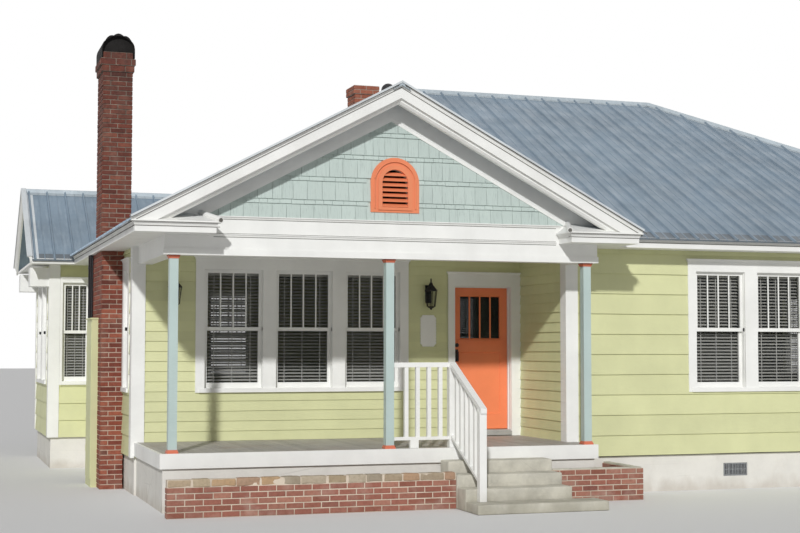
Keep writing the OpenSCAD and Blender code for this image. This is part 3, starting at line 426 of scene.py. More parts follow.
@dataclass(frozen=True)
class Paint:
    """Brushed paint on boards: its own colour, weathering, stains near the ground and brush marks."""

    name: str
    colour: Colour
    stain: Colour
    rough: float = 0.5
    variety: float = 0.12
    grime: float = 0.35
    splash_top: float = 0.55
    brush: float = 0.0006

    def make(self) -> bpy.types.Material:
        """Builds the material.

        Returns:
            The material.
        """
        g = Graph(self.name)
        shade = g.span(g.tone(), 0.0, 1.0, 1.0 - self.variety, 1.0 + self.variety * 0.6)
        blotch = g.span(g.speckle(1.7, 6.0), 0.3, 0.7, 0.93, 1.05)
        both = g.maths("MULTIPLY", shade, blotch)
        grey = g.node("ShaderNodeCombineColor")
        for i in range(3):
            g.link(both, grey.inputs[i])
        base = g.mix(1.0, self.colour, grey.outputs[0], "MULTIPLY")
        base = g.stained(base, self.stain, self.grime, 3.0, 5.0, (0.5, 0.78), (1.0, 1.0, 0.22))
        if self.splash_top > 0.0:
            damp = g.maths("MULTIPLY", g.span(g.height(), 0.0, self.splash_top, 1.0, 0.0),
                           g.span(g.speckle(5.0, 6.0), 0.35, 0.7, 0.1, 0.9))
            base = g.mix(damp, base, self.stain)
        grain = g.speckle(90.0, 4.0, (0.12, 0.12, 1.0))
        g.surface(base, g.uneven(self.rough, 7.0, 0.08, 0.12))
        g.relief((grain, self.brush), (g.speckle(14.0, 5.0), 0.0012))
        return g.material


@dataclass(frozen=True)
class Shake:
    """Painted split shingles: one colour, darker in its fine upright grooves."""

    name: str
    colour: Colour
    groove: Colour
    ridges: float = 70.0
    depth: float = 0.0025
    rough: float = 0.6

    def make(self) -> bpy.types.Material:
        """Builds the material.

        Returns:
            The material.
        """
        g = Graph(self.name)
        grain = g.speckle(self.ridges, 3.0, (1.0, 1.0, 0.025), 0.7)
        base = g.toned(self.colour, self.groove, 0.16)
        base = g.mix(g.span(grain, 0.30, 0.46, 0.55, 0.0), base, self.groove)
        base = g.stained(base, self.groove, 0.16, 2.0, limits=(0.5, 0.75))
        g.surface(base, g.uneven(self.rough, 7.0))
        g.relief((grain, self.depth))
        return g.material


@dataclass(frozen=True)
class Masonry:
    """Bricks or stones: each one its own shade between named colours, with pits and pale mortar haze."""

    name: str
    shades: tuple[Colour, ...]
    haze: Colour
    haze_share: float = 0.25
    soot_and_shade_from: float = 90.0
    soot_and_shade_to: float = 91.0
    rough: float = 0.85
    pits: float = 0.002

    def make(self) -> bpy.types.Material:
        """Builds the material.

        Returns:
            The material.
        """
        g = Graph(self.name)
        last = len(self.shades) - 1
        base = g.ramp(g.tone(), [(i / last, shade) for i, shade in enumerate(self.shades)])
        base = g.stained(base, tuple(c * 0.55 for c in self.shades[0]), 0.5, 24.0, limits=(0.45, 0.8))
        base = g.stained(base, self.haze, self.haze_share, 3.3)
        # Darkening that rises with height: partly soot, partly painted shade on the upper chimney.
        soot_and_shade = g.maths("MULTIPLY", g.span(g.height(), self.soot_and_shade_from, self.soot_and_shade_to, 0.0, 0.75),
                       g.span(g.speckle(6.0), 0.3, 0.6, 0.5, 1.0))
        base = g.mix(soot_and_shade, base, (0.03, 0.025, 0.022))
        g.surface(base, g.uneven(self.rough, 30.0), 0.0, 0.3)
        g.relief((g.speckle(60.0, 6.0), self.pits), (g.speckle(260.0, 3.0), 0.0006))
        return g.material


@dataclass(frozen=True)
class Render:
    """Painted or bare cement work with trowel marks, stains that rise from the ground and fine cracks."""

    name: str
    colour: Colour
    stain: Colour
    stain_top: float
    stain_share: float = 0.7
    patch: float = 0.16
    rough: float = 0.85
    depth: float = 0.003

    def make(self) -> bpy.types.Material:
        """Builds the material.

        Returns:
            The material.
        """
        g = Graph(self.name)
        dark = tuple(c * (1.0 - self.patch) for c in self.colour)
        base = g.ramp(g.speckle(2.3, 8.0, rough=0.65), [(0.3, dark), (0.6, self.colour)])
        rise = g.maths("ADD", g.span(g.height(), 0.0, self.stain_top, 1.0, 0.0),
                       g.span(g.speckle(4.0, 8.0, (1, 1, 0.6)), 0.3, 0.7, -0.45, 0.35))
        base = g.mix(g.span(rise, 0.15, 0.95, 0.0, self.stain_share), base, self.stain)
        crack = g.node("ShaderNodeTexVoronoi", feature="DISTANCE_TO_EDGE")
        crack.inputs["Scale"].default_value = 1.6
        line = g.span(crack.outputs["Distance"], 0.0, 0.012, 1.0, 0.0)
        line = g.maths("MULTIPLY", line, g.span(g.speckle(1.1), 0.5, 0.62, 0.0, 0.22))
        base = g.mix(line, base, tuple(c * 0.4 for c in self.stain))
        g.surface(base, g.uneven(self.rough, 12.0), 0.0, 0.3)
        g.relief((g.speckle(18.0, 8.0, rough=0.7), self.depth), (g.speckle(190.0, 4.0), self.depth * 0.25))
        return g.material


@dataclass(frozen=True)
class Sheet:
    """Painted metal sheet with a satin gloss, weather streaks down the slope and pale chalking."""

    name: str
    colour: Colour
    chalk: Colour
    metallic: float = 0.35
    rough: float = 0.38
    streak: tuple[float, float, float] = (6.0, 1.0, 1.0)
    wear: float = 0.35

    def make(self) -> bpy.types.Material:
        """Builds the material.

        Returns:
            The material.
        """
        g = Graph(self.name)
        # Darker mottled patches: painted reflection of clouds on the sheet.
        dark = tuple(c * 0.8 for c in self.colour)
        base = g.ramp(g.speckle(1.3, 7.0, rough=0.6), [(0.35, dark), (0.62, self.colour)])
        base = g.stained(base, self.chalk, self.wear, 2.6, 5.0, (0.48, 0.78), self.streak)
        base = g.toned(base, self.chalk, 0.16)
        g.surface(base, g.uneven(self.rough, 3.0, more=0.16, detail=6.0), self.metallic)
        g.relief((g.speckle(2.2, 3.0), 0.004), (g.speckle(160.0, 3.0), 0.0002))
        return g.material


@dataclass(frozen=True)
class Iron:
    """Dark painted iron or steel with spots of dust and a little rust."""

    name: str
    colour: Colour
    rust: Colour = (0.16, 0.06, 0.03)
    rust_share: float = 0.25
    rough: float = 0.5

    def make(self) -> bpy.types.Material:
        """Builds the material.

        Returns:
            The material.
        """
        g = Graph(self.name)
        base = g.stained(self.colour, self.rust, self.rust_share, 16.0, 7.0, (0.55, 0.75))
        base = g.stained(base, (0.2, 0.19, 0.18), 0.2, 60.0, 4.0)
        g.surface(base, g.uneven(self.rough, 20.0, 0.12, 0.15), 0.4)
        g.relief((g.speckle(80.0, 5.0), 0.0007), (g.speckle(9.0, 3.0), 0.0015))
        return g.material


@dataclass(frozen=True)
class Pane:
    """Window glass: dark, clear enough to show what is close behind, with faint dust and waves."""

    name: str
    colour: Colour = (0.015, 0.02, 0.022)
    cover: float = 0.20
    gloss: float = 0.16

    def make(self) -> bpy.types.Material:
        """Builds the material.

        Returns:
            The material.
        """
        g = Graph(self.name)
        base = g.stained(self.colour, (0.3, 0.3, 0.28), 0.12, 5.0)
        g.surface(base, g.span(g.speckle(8.0), 0.3, 0.7, 0.02, 0.09), specular=self.gloss)
        g.shader.inputs["Alpha"].default_value = self.cover
        g.relief((g.speckle(1.6, 2.0), 0.003))
        return g.material


@dataclass(frozen=True)
class Boards:
    """Bare or stained boards with long grain, each one its own shade."""

    name: str
    colour: Colour
    dark: Colour
    stretch: tuple[float, float, float]
    rough: float = 0.6

    def make(self) -> bpy.types.Material:
        """Builds the material.

        Returns:
            The material.
        """
        g = Graph(self.name)
        grain = g.speckle(26.0, 6.0, self.stretch)
        base = g.ramp(grain, [(0.3, self.dark), (0.65, self.colour)])
        base = g.toned(base, self.dark, 0.3)
        base = g.stained(base, tuple(c * 0.5 for c in self.dark), 0.4, 2.1)
        g.surface(base, g.uneven(self.rough, 9.0))
        g.relief((grain, 0.001))
        return g.material


@dataclass(frozen=True)
class StageFloor:
    """The plain pale floor: white to the camera, with the soft shadow of what stands on it."""

    name: str = "studio_floor"
    colour: Colour = (0.8, 0.8, 0.8)

    def make(self) -> bpy.types.Material:
        """Builds the material.

        Returns:
            The material.
        """
        g = Graph(self.name)
        g.surface(self.colour, 0.9, 0.0, 0.1)
        return g.material


class Finish(Enum):
    """Every finish of the house."""

    SIDING = Paint("lap_siding_paint", (0.665, 0.675, 0.385), (0.40, 0.42, 0.22), 0.55, 0.05, 0.12, 0.0)
    WHITE = Paint("white_trim_paint", (0.88, 0.88, 0.85), (0.50, 0.48, 0.42), 0.45, 0.03, 0.10, 0.25)
    SHINGLE = Shake("shingle_paint", (0.53, 0.615, 0.575), (0.30, 0.36, 0.34))
    DOOR = Paint("door_enamel", (0.93, 0.255, 0.105), (0.60, 0.15, 0.06), 0.5, 0.03, 0.06, 0.0)
    CAPITAL = Paint("post_cap_paint", (0.66, 0.17, 0.09), (0.36, 0.10, 0.06), 0.45, 0.06, 0.15, 0.0)
    VENT = Paint("vent_paint", (0.86, 0.27, 0.125), (0.44, 0.13, 0.07), 0.5, 0.08, 0.20, 0.0)
    POST = Paint("post_enamel", (0.50, 0.61, 0.585), (0.34, 0.40, 0.39), 0.4, 0.05, 0.10, 0.5)
    DECK = Paint("deck_paint", (0.40, 0.38, 0.355), (0.30, 0.20, 0.16), 0.55, 0.14, 0.45, 0.0)
    # Near-black paint for strips and plugs that stand in for shadow in moulding joints and hollows.
    JOINT = Paint("painted_shadow_line", (0.13, 0.125, 0.11), (0.06, 0.055, 0.05), 0.7)
    CAP_LINE = Paint("cap_line_paint", (0.22, 0.05, 0.04), (0.12, 0.04, 0.03), 0.5)
    SLAT = Paint("blind_slat", (0.80, 0.79, 0.74), (0.46, 0.45, 0.41), 0.5, 0.10, 0.05, 0.0)
    GRILLE = Iron("grille_iron", (0.25, 0.26, 0.27), rust_share=0.12)
    BLACK = Iron("black_iron", (0.012, 0.012, 0.014))
    CAP = Render("sooty_sheet", (0.018, 0.016, 0.015), (0.05, 0.03, 0.02), 0.1, 0.5, 0.4, 0.95, 0.003)
    # Chimney brick: shades darker than sunlit brick, darker still with height; partly soot, partly painted
    # shade.
    BRICK = Masonry("chimney_brick", ((0.13, 0.035, 0.024), (0.24, 0.062, 0.038), (0.19, 0.050, 0.034),
                                      (0.33, 0.10, 0.060), (0.16, 0.045, 0.032)),
                    (0.46, 0.34, 0.26), 0.30, 2.4, 6.9)
    # Chimney mortar: darker with height, partly soot and partly painted shade.
    MORTAR = Masonry("mortar", ((0.50, 0.38, 0.30), (0.60, 0.47, 0.38)), (0.70, 0.60, 0.50), 0.3, 1.8, 5.0)
    ROOF_BRICK = Masonry("roof_brick", ((0.27, 0.085, 0.052), (0.40, 0.14, 0.085), (0.33, 0.11, 0.068)),
                         (0.50, 0.36, 0.27), 0.30)
    ROOF_MORTAR = Masonry("roof_mortar", ((0.40, 0.30, 0.24), (0.50, 0.39, 0.31)), (0.62, 0.52, 0.43), 0.3)
    PALE_MORTAR = Render("pale_mortar", (0.72, 0.62, 0.50), (0.36, 0.29, 0.21), 0.2, 0.5, 0.3, 0.9, 0.004)
    PLANTER = Masonry("planter_brick", ((0.25, 0.095, 0.065), (0.35, 0.14, 0.10), (0.28, 0.11, 0.08),
                                        (0.40, 0.19, 0.135), (0.22, 0.085, 0.065)), (0.62, 0.53, 0.45), 0.40,
                      pits=0.004)
    STONE = Masonry("bed_stones", ((0.36, 0.28, 0.18), (0.47, 0.38, 0.26), (0.40, 0.25, 0.17),
                                   (0.50, 0.34, 0.19), (0.33, 0.28, 0.21), (0.52, 0.44, 0.33)),
                    (0.60, 0.53, 0.43), 0.3, pits=0.006)
    CONCRETE = Render("step_concrete", (0.62, 0.595, 0.51), (0.30, 0.28, 0.21), 0.35, 0.5, 0.34, 0.9, 0.004)
    FOUNDATION = Render("white_render", (0.76, 0.74, 0.69), (0.36, 0.30, 0.23), 0.22, 0.4, 0.10, 0.85, 0.004)
    # Blue-grey sheet colour: partly the sheet's own, partly painted sky reflection.
    ROOF = Sheet("roof_sheet", (0.21, 0.28, 0.35), (0.40, 0.47, 0.53))
    RIDGE = Sheet("ridge_sheet", (0.40, 0.46, 0.50), (0.62, 0.66, 0.68), 0.3, 0.42)
    EDGE = Sheet("edge_sheet", (0.62, 0.66, 0.68), (0.74, 0.76, 0.77), 0.2, 0.45)
    SILL = Sheet("threshold_sheet", (0.50, 0.50, 0.49), (0.62, 0.62, 0.60), 0.5, 0.4)
    # Dark sheet colour that paints the shadow under the roof's eave edges.
    DRIP = Sheet("eave_edge_painted_shade", (0.11, 0.13, 0.15), (0.22, 0.26, 0.29))
    GLASS = Pane("window_glass")
    DOOR_GLASS = Pane("door_pane", cover=0.72)
    INDOOR = Boards("indoor_boards", (0.36, 0.22, 0.12), (0.16, 0.09, 0.05), (0.4, 8.0, 8.0))
    STAGE = StageFloor()

    @property
    def material(self) -> bpy.types.Material:
        """The finish's material, built the first time it is asked for."""
        return bpy.data.materials.get(self.value.name) or self.value.make()


@dataclass(frozen=True)
class Wear:
    """Rounded edges of a worn block: their radius, the mesh's cells and the depth of the hollows."""

    radius: float
    cell: float
    depth: float


class Draft:
    """Gathers the closed solids of one piece before they become a mesh."""

    EDGE_SHARE = 0.45
    """Largest share of a worn block's side that its edge takes, and the place of the edge's middle."""
    WEAR_SPOTS = 9.0
    """Hollows in a metre of a worn surface."""
    LEVEL_WEAR = 0.4
    """Share of the wear on level faces."""
    LEVEL = 0.9
    """Upward share of the normal from which a face is level."""

    def __init__(self) -> None:
        """Starts with no points."""
        self.points: list[Vector] = []
        self.faces: list[tuple[int, ...]] = []
        self.tones: list[float] = []

    def add(self, points: Iterable[Vector], faces: Iterable[Sequence[int]], tone: float = 0.5) -> None:
        """Adds faces.

        Args:
            points: Their points.
            faces: Indices into those points.
            tone: Number from 0 to 1 that picks the shade.
        """
        first = len(self.points)
        self.points.extend(points)
        for face in faces:
            self.faces.append(tuple(first + i for i in face))
            self.tones.append(tone)

    def loft(self, sections: Sequence[Sequence[Vector]], tone: float = 0.5, closed: bool = False) -> None:
        """Joins like sections into a solid.

        Args:
            sections: Rings of points, each with as many points as the first.
            tone: Shade.
            closed: Whether the last section joins the first.
        """
        n = len(sections[0])
        faces: list[Sequence[int]] = []
        count = len(sections)
        for s in range(count if closed else count - 1):
            a, b = s * n, (s + 1) % count * n
            faces.extend((a + i, a + (i + 1) % n, b + (i + 1) % n, b + i) for i in range(n))
        if not closed:
            faces.append(tuple(range(n - 1, -1, -1)))
            faces.append(tuple(range((count - 1) * n, count * n)))
        self.add([p for section in sections for p in section], faces, tone)

    def block(self, low: Sequence[float], high: Sequence[float], tone: float = 0.5) -> None:
        """Adds a box between two corners.

        Args:
            low: The lowest corner.
            high: The highest corner.
            tone: Shade of the box.
        """
        (x0, y0, z0), (x1, y1, z1) = low, high
        self.loft([[Vector(p) for p in ((x0, y0, z), (x1, y0, z), (x1, y1, z), (x0, y1, z))]
                   for z in (z0, z1)], tone)

    def slab(self, wall: Wall, u: Pair, z: Pair, out: Pair, tone: float = 0.5) -> None:
        """Adds a box on a wall from its ranges of u, z and distance in front of the face."""
        self.loft([wall.ring(u, z, o) for o in out], tone)

    def plate(self, wall: Wall, outline: Sequence[Pair], front: Callable[[float], float], back: float = 0.0,
              tone: float = 0.5) -> None:
        """Adds a flat-backed plate on a wall.

        Args:
            wall: The wall.
            outline: Its points, as u and z.
            front: Distance of its front from the wall's face at a height.
            back: Distance of its back.
            tone: Shade.
        """
        if len(outline) < 3:
            return
        self.loft([[wall.at(u, z, back) for u, z in outline],
                   [wall.at(u, z, front(z)) for u, z in outline]], tone)

    def sweep(self, profile: Profile, path: Sequence[Vector], fixed: Vector, closed: bool = False,
              tone: float = 0.5) -> None:
        """Runs a profile along a path that lies in one plane, with mitred corners.

        Args:
            profile: Points as distance along the fixed direction and sideways from the path.
            path: Corners of the path.
            fixed: Direction square to the path's plane.
            closed: Whether the path returns to its start.
            tone: Shade.
        """
        fixed = fixed.normalized()
        n = len(path)
        last = n if closed else n - 1
        sides = [fixed.cross((path[(i + 1) % n] - path[i]).normalized()) for i in range(last)]
        sections = []
        for i, p in enumerate(path):
            before = sides[i - 1] if closed or i > 0 else sides[0]
            after = sides[i] if i < len(sides) else sides[-1]
            mitre = (before + after) / (1.0 + before.dot(after))
            sections.append([p + fixed * a + mitre * b for a, b in profile])
        self.loft(sections, tone, closed)

    def run(self, profile: Profile, path: Sequence[Vector], out: Vector, closed: bool = False,
            tone: float = 0.5) -> None:
        """Sweeps a profile along a path, in the order that turns the profile's sideways direction up."""
        backwards = out.cross(path[1] - path[0]).z < 0
        self.sweep(profile, path[::-1] if backwards else path, out, closed, tone)

    def tube(self, path: Sequence[Vector], radius: Callable[[float], float], sides: int = 10,
             tone: float = 0.5) -> None:
        """Runs a round bar along a path.

        Args:
            path: Points of the path.
            radius: Radius at a share of the path.
            sides: Flat sides of the bar.
            tone: Shade.
        """
        sections = []
        last = len(path) - 1
        up = Vector((0.12, 0.21, 1.0))
        for i, p in enumerate(path):
            way = (path[min(i + 1, last)] - path[max(i - 1, 0)]).normalized()
            across = way.cross(up if abs(way.z) < 0.97 else Vector((1.0, 0.0, 0.0))).normalized()
            third = way.cross(across)
            r = radius(i / last)
            sections.append([p + across * (r * math.cos(a)) + third * (r * math.sin(a))
                             for a in (2 * math.pi * k / sides for k in range(sides))])
        self.loft(sections, tone)

    def turned(self, base: Vector, outline: Profile, sides: int = 24, tone: float = 0.5) -> None:
        """Adds an upright turned shape round a point, from the radius and height of each ring."""
        self.loft([[base + Vector((r * math.cos(a), r * math.sin(a), z))
                    for a in (2 * math.pi * k / sides for k in range(sides))] for r, z in outline], tone)

    def worn(self, low: Sequence[float], high: Sequence[float], wear: Wear, tone: float = 0.5) -> None:
        """Adds a block with rounded, uneven edges.

        Args:
            low: Lowest corner.
            high: Highest corner.
            wear: Its edges and unevenness.
            tone: Shade.
        """
        size = [high[i] - low[i] for i in range(3)]
        core = [min(wear.radius, s * self.EDGE_SHARE) for s in size]
        counts = [max(2, round(s / wear.cell)) for s in size]
        stops = (0.0, self.EDGE_SHARE)
        grid = [[low[i] + core[i] * t for t in stops]
                + [low[i] + core[i] + (size[i] - 2 * core[i]) * k / counts[i] for k in range(counts[i] + 1)]
                + [high[i] - core[i] * t for t in stops[::-1]] for i in range(3)]
        index: dict[tuple[int, int, int], int] = {}
        points: list[Vector] = []

        def corner(*at: int) -> int:
            """Gives the index of a grid corner, moved to the rounded surface.

            Args:
                *at: Its place along each axis of the grid.

            Returns:
                The index.
            """
            if at not in index:
                raw = [grid[i][at[i]] for i in range(3)]
                near = Vector([min(max(raw[i], low[i] + core[i]), high[i] - core[i]) for i in range(3)])
                way = Vector([(raw[i] - near[i]) / core[i] for i in range(3)])
                if way.length > 1e-9:
                    way.normalize()
                p = near + Vector([way[i] * core[i] for i in range(3)])
                share = 1.0 if abs(way.z) < self.LEVEL else self.LEVEL_WEAR
                p -= way * (wear.depth * (0.5 + noise.noise(p * self.WEAR_SPOTS)) * share)
                index[at] = len(points)
                points.append(p)
            return index[at]

        faces = []
        for axis in range(3):
            b, c = (axis + 1) % 3, (axis + 2) % 3
            for level in (0, len(grid[axis]) - 1):
                for i in range(len(grid[b]) - 1):
                    for j in range(len(grid[c]) - 1):
                        ring = []
                        for di, dj in ((0, 0), (1, 0), (1, 1), (0, 1)):
                            at = [0, 0, 0]
                            at[axis], at[b], at[c] = level, i + di, j + dj
                            ring.append(corner(*at))
                        faces.append(ring)
        self.add(points, faces, tone)

    def piece(self, name: str, finish: Finish, slot: str, body: str = "house", replaces: Sequence[str] = (),
              smooth: float = 0.0) -> bpy.types.Object:
        """Turns the draft into a piece of the house.

        Args:
            name: The piece's name.
            finish: Its finish.
            slot: Material slot of the record; not used.
            body: Body that it moves with.
            replaces: Nodes that it stands for.
            smooth: Largest angle between smooth faces, in degrees.

        Returns:
            The new object.
        """
        mesh = bpy.data.meshes.new(name)
        mesh.from_pydata([tuple(p) for p in self.points], [], self.faces)
        shade = mesh.attributes.new("tone", "FLOAT", "FACE")
        shade.data.foreach_set("value", self.tones)
        work = bmesh.new()
        work.from_mesh(mesh)
        bmesh.ops.recalc_face_normals(work, faces=work.faces)
        work.to_mesh(mesh)
        work.free()
        mesh.materials.append(finish.material)
        if smooth:
            mesh.shade_smooth()
            mesh.set_sharp_from_angle(angle=math.radians(smooth))
        made = bpy.data.objects.new(name, mesh)
        bpy.context.scene.collection.objects.link(made)
        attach(made, body)
        if replaces:
            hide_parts(*replaces)
        log.info("%s: %d faces", name, len(self.faces))
        return made


def clip(outline: Sequence[Pair], normal: Pair, limit: float) -> list[Pair]:
    """Keeps the part of an outline on one side of a line.

    Args:
        outline: Points of a convex or nearly convex outline.
        normal: Direction across the line.
        limit: Largest product of a point and the direction that stays.

    Returns:
        The points that are left.
    """
    kept: list[Pair] = []
    for i, (u, z) in enumerate(outline):
        v, w = outline[(i + 1) % len(outline)]
        a = u * normal[0] + z * normal[1] - limit
        b = v * normal[0] + w * normal[1] - limit
        if a <= 0:
            kept.append((u, z))
        if (a < 0 < b) or (b < 0 < a):
            t = a / (a - b)
            kept.append((u + (v - u) * t, z + (w - z) * t))
    return kept


def under_gable(outline: Sequence[Pair], peak: Pair, slope: float) -> Sequence[Pair]:
    """Keeps the part of an outline that lies under both slopes of a gable.

    Args:
        outline: Points of the outline.
        peak: Top of the gable, as u and z.
        slope: Rise of its edges over their run.

    Returns:
        The points that are left.
    """
    for way in (-1.0, 1.0):
        outline = clip(outline, (way * slope, 1.0), peak[1] + way * slope * peak[0])
    return outline


@dataclass(frozen=True)
class Shell:
    """Planes and levels of the house, read from the frame."""

    porch: Wall
    porch_side: Wall
    front: Wall
    right: Wall
    rear: Wall
    left: Wall
    wing_front: Wall
    wing_left: Wall
    wing_rear: Wall
    base: float
    soffit: float
    deck: float

    @classmethod
    def read(cls) -> "Shell":
        """Reads the walls' faces from the frame.

        Returns:
            The walls.
        """
        back, side, front = node_box("porch_back_wall"), node_box("porch_side_wall"), node_box("front_wall")
        wing = node_box("wing_walls")
        return cls(
            porch=Wall(Side.FRONT, -back.low.y), porch_side=Wall(Side.LEFT, -side.low.x),
            front=Wall(Side.FRONT, -front.low.y), right=Wall(Side.RIGHT, node_box("right_wall").high.x),
            rear=Wall(Side.REAR, node_box("rear_wall").high.y),
            left=Wall(Side.LEFT, -node_box("left_wall").low.x),
            wing_front=Wall(Side.FRONT, -wing.low.y), wing_left=Wall(Side.LEFT, -wing.low.x),
            wing_rear=Wall(Side.REAR, wing.high.y), base=back.low.z, soffit=node_box("ceiling_soffit").low.z,
            deck=node_box("porch_floor").high.z)


@dataclass
class LapSiding:
    """Lap boards on every wall, cut round casings, corner boards and masonry."""

    shell: Shell
    wide: float = 0.274
    narrow: float = 0.134
    butt: float = 0.021
    thin_butt: float = 0.016
    top: float = 0.003
    wave: float = 0.0035
    wave_run: float = 0.4
    wave_spots: float = 0.9
    row_shift: float = 3.1
    casing: float = 0.028
    behind: float = 0.6
    before: float = 0.006
    least: float = 0.004
    least_top: float = 0.05
    door_play: float = 0.01
    past: float = 1.0

    def holes(self, wall: Wall, extra: Sequence[Rect] = ()) -> list[Rect]:
        """Lists what stands on a wall.

        Args:
            wall: The wall.
            extra: Further rectangles.

        Returns:
            Rectangles of u and z that the boards leave free.
        """
        found = list(extra)
        for name in ("front_windows", "other_windows", "corner_boards", "wall_plaque"):
            for solid in solids(name):
                u, z, out = wall.spans(solid)
                if not (-self.behind < out[0] < self.before and out[1] > self.least):
                    continue
                if name.endswith("windows"):
                    front = [p for p in solid.points if abs(wall.out.dot(p) - wall.face - self.casing) < NEAR]
                    if not front:
                        continue
                    us = [wall.along.dot(p) for p in front]
                    head = max(p.z for p in front)
                    found.append((min(us), max(us), z[0], head))
                    found.append((u[0], u[1], head, z[1]))
                else:
                    found.append((u[0], u[1], z[0], z[1]))
        if wall.side is Side.LEFT:
            (u0, u1), _, out = wall.spans(foot_of("side_chimney"))
            if abs(out[0]) < self.before:
                found.append((u0, u1, 0.0, self.shell.soffit))
        return found

    def course(self, draft: Draft, wall: Wall, u: Pair, z: Pair, butt: float, holes: Sequence[Rect],
               tone: Callable[[], float], row: int) -> None:
        """Lays one row of boards.

        Args:
            draft: Where the boards go.
            wall: The wall.
            u: Range along the wall.
            z: Lower and upper edge of the row.
            butt: Thickness at the lower edge.
            holes: Rectangles to leave free.
            tone: Gives a board's shade.
            row: Number of the row, which moves its waves.
        """
        beside = [h for h in holes if h[2] < z[1] and h[3] > z[0]]
        cuts = sorted({*u, *(c for h in beside for c in h[:2] if u[0] < c < u[1])})
        runs: list[Rect] = []
        for a, b in zip(cuts, cuts[1:]):
            free = [z]
            for _, _, bottom, top in (h for h in beside if h[0] < (a + b) / 2 < h[1]):
                free = [part for low, high in free
                        for part in ((low, min(high, bottom)), (max(low, top), high))
                        if part[1] - part[0] > self.least]
            for low, high in free:
                if runs and runs[-1][1:] == (a, low, high):
                    runs[-1] = (runs[-1][0], b, low, high)
                else:
                    runs.append((a, b, low, high))
        for a, b, low, high in runs:
            steps = max(1, round((b - a) / self.wave_run))
            outline = [(a + (b - a) * i / steps, low) for i in range(steps + 1)]
            if low == z[0]:
                outline = [(p, q + self.wave * noise.noise(
                    Vector((p * self.wave_spots, row * self.row_shift, wall.face)))) for p, q in outline]
            outline += [(b, high), (a, high)]
            draft.plate(wall, outline, lambda h: self.top + (butt - self.top) * (z[1] - h) / (z[1] - z[0]),
                        tone=tone())

    def clad(self, name: str, wall: Wall, u: Pair, z: Pair, exposure: float,
             extra: Sequence[Rect] = ()) -> None:
        """Covers one wall.

        Args:
            name: The piece's name.
            wall: The wall.
            u: Range along the wall.
            z: Lowest and highest edge.
            exposure: Height of a row.
            extra: Rectangles to leave free.
        """
        draft = Draft()
        rng = random.Random(name)
        holes = self.holes(wall, extra)
        butt = self.thin_butt if exposure < self.wide else self.butt
        row = 0
        low = z[0]
        while low < z[1] - SHORT:
            self.course(draft, wall, u, (low, min(low + exposure, z[1])), butt, holes, rng.random, row)
            low += exposure
            row += 1
        draft.piece(name, Finish.SIDING, "siding")

    def gable(self, name: str, wall: Wall, peak: Pair, slope: float, low: float) -> None:
        """Covers the triangle under a gable.

        Args:
            name: The piece's name.
            wall: The wall.
            peak: Top of the triangle, as u and z.
            slope: Rise of its edges over their run.
            low: Its lower edge.
        """
        draft = Draft()
        rng = random.Random(name)
        while low < peak[1] - self.least_top:
            high = min(low + self.wide, peak[1])
            reach = (peak[1] - low) / slope + self.past
            left, right = peak[0] - reach, peak[0] + reach
            row = under_gable([(left, low), (right, low), (right, high), (left, high)], peak, slope)
            draft.plate(wall, row, lambda h: self.top + (self.butt - self.top) * (high - h) / self.wide,
                        tone=rng.random())
            low += self.wide
        draft.piece(name, Finish.SIDING, "siding")

    def build(self) -> None:
        """Clads the whole house."""
        s = self.shell
        corner, side = node_box("front_wall"), node_box("porch_side_wall")
        rim, beam = node_box("porch_rim"), node_box("porch_beam")
        wing, left, door = node_box("wing_walls"), node_box("left_wall"), node_box("door_frame")
        room_x, wall_z = side.low.x, (s.base, s.soffit)
        self.clad("porch_back_siding", s.porch, (left.low.x, room_x), (s.deck, s.soffit), self.narrow,
                  [(door.low.x, door.high.x + self.door_play, door.low.z - self.past, door.high.z)])
        self.clad("porch_side_siding", s.porch_side, (s.porch.face, s.front.face), (s.deck, s.soffit),
                  self.narrow)
        self.clad("front_siding", s.front, (room_x, s.right.face), wall_z, self.wide,
                  [(room_x, rim.high.x, s.base - self.past, s.deck),
                   (room_x, beam.high.x, beam.low.z, s.soffit)])
        self.clad("right_siding", s.right, (corner.low.y, s.rear.face), wall_z, self.wide)
        self.clad("rear_siding", s.rear, (-s.right.face, s.left.face), wall_z, self.wide)
        self.clad("left_siding", s.left, (-wing.low.y, s.porch.face), wall_z, self.wide,
                  [(-beam.high.y, s.porch.face, beam.low.z, s.soffit)] if beam.low.x < left.low.x else ())
        self.clad("left_rear_siding", s.left, (-s.rear.face, -wing.high.y), wall_z, self.wide)
        self.clad("wing_front_siding", s.wing_front, (-s.wing_left.face, left.low.x), wall_z, self.wide)
        self.clad("wing_rear_siding", s.wing_rear, (-left.low.x, s.wing_left.face), wall_z, self.wide)
        self.clad("wing_left_siding", s.wing_left, (-wing.high.y, -wing.low.y), wall_z, self.wide)
        self.gable("wing_gable_siding", s.wing_left, (-wing.mid.y, wing.high.z), slope_of("wing_roof"),
                   node_box("ceiling_soffit").high.z)


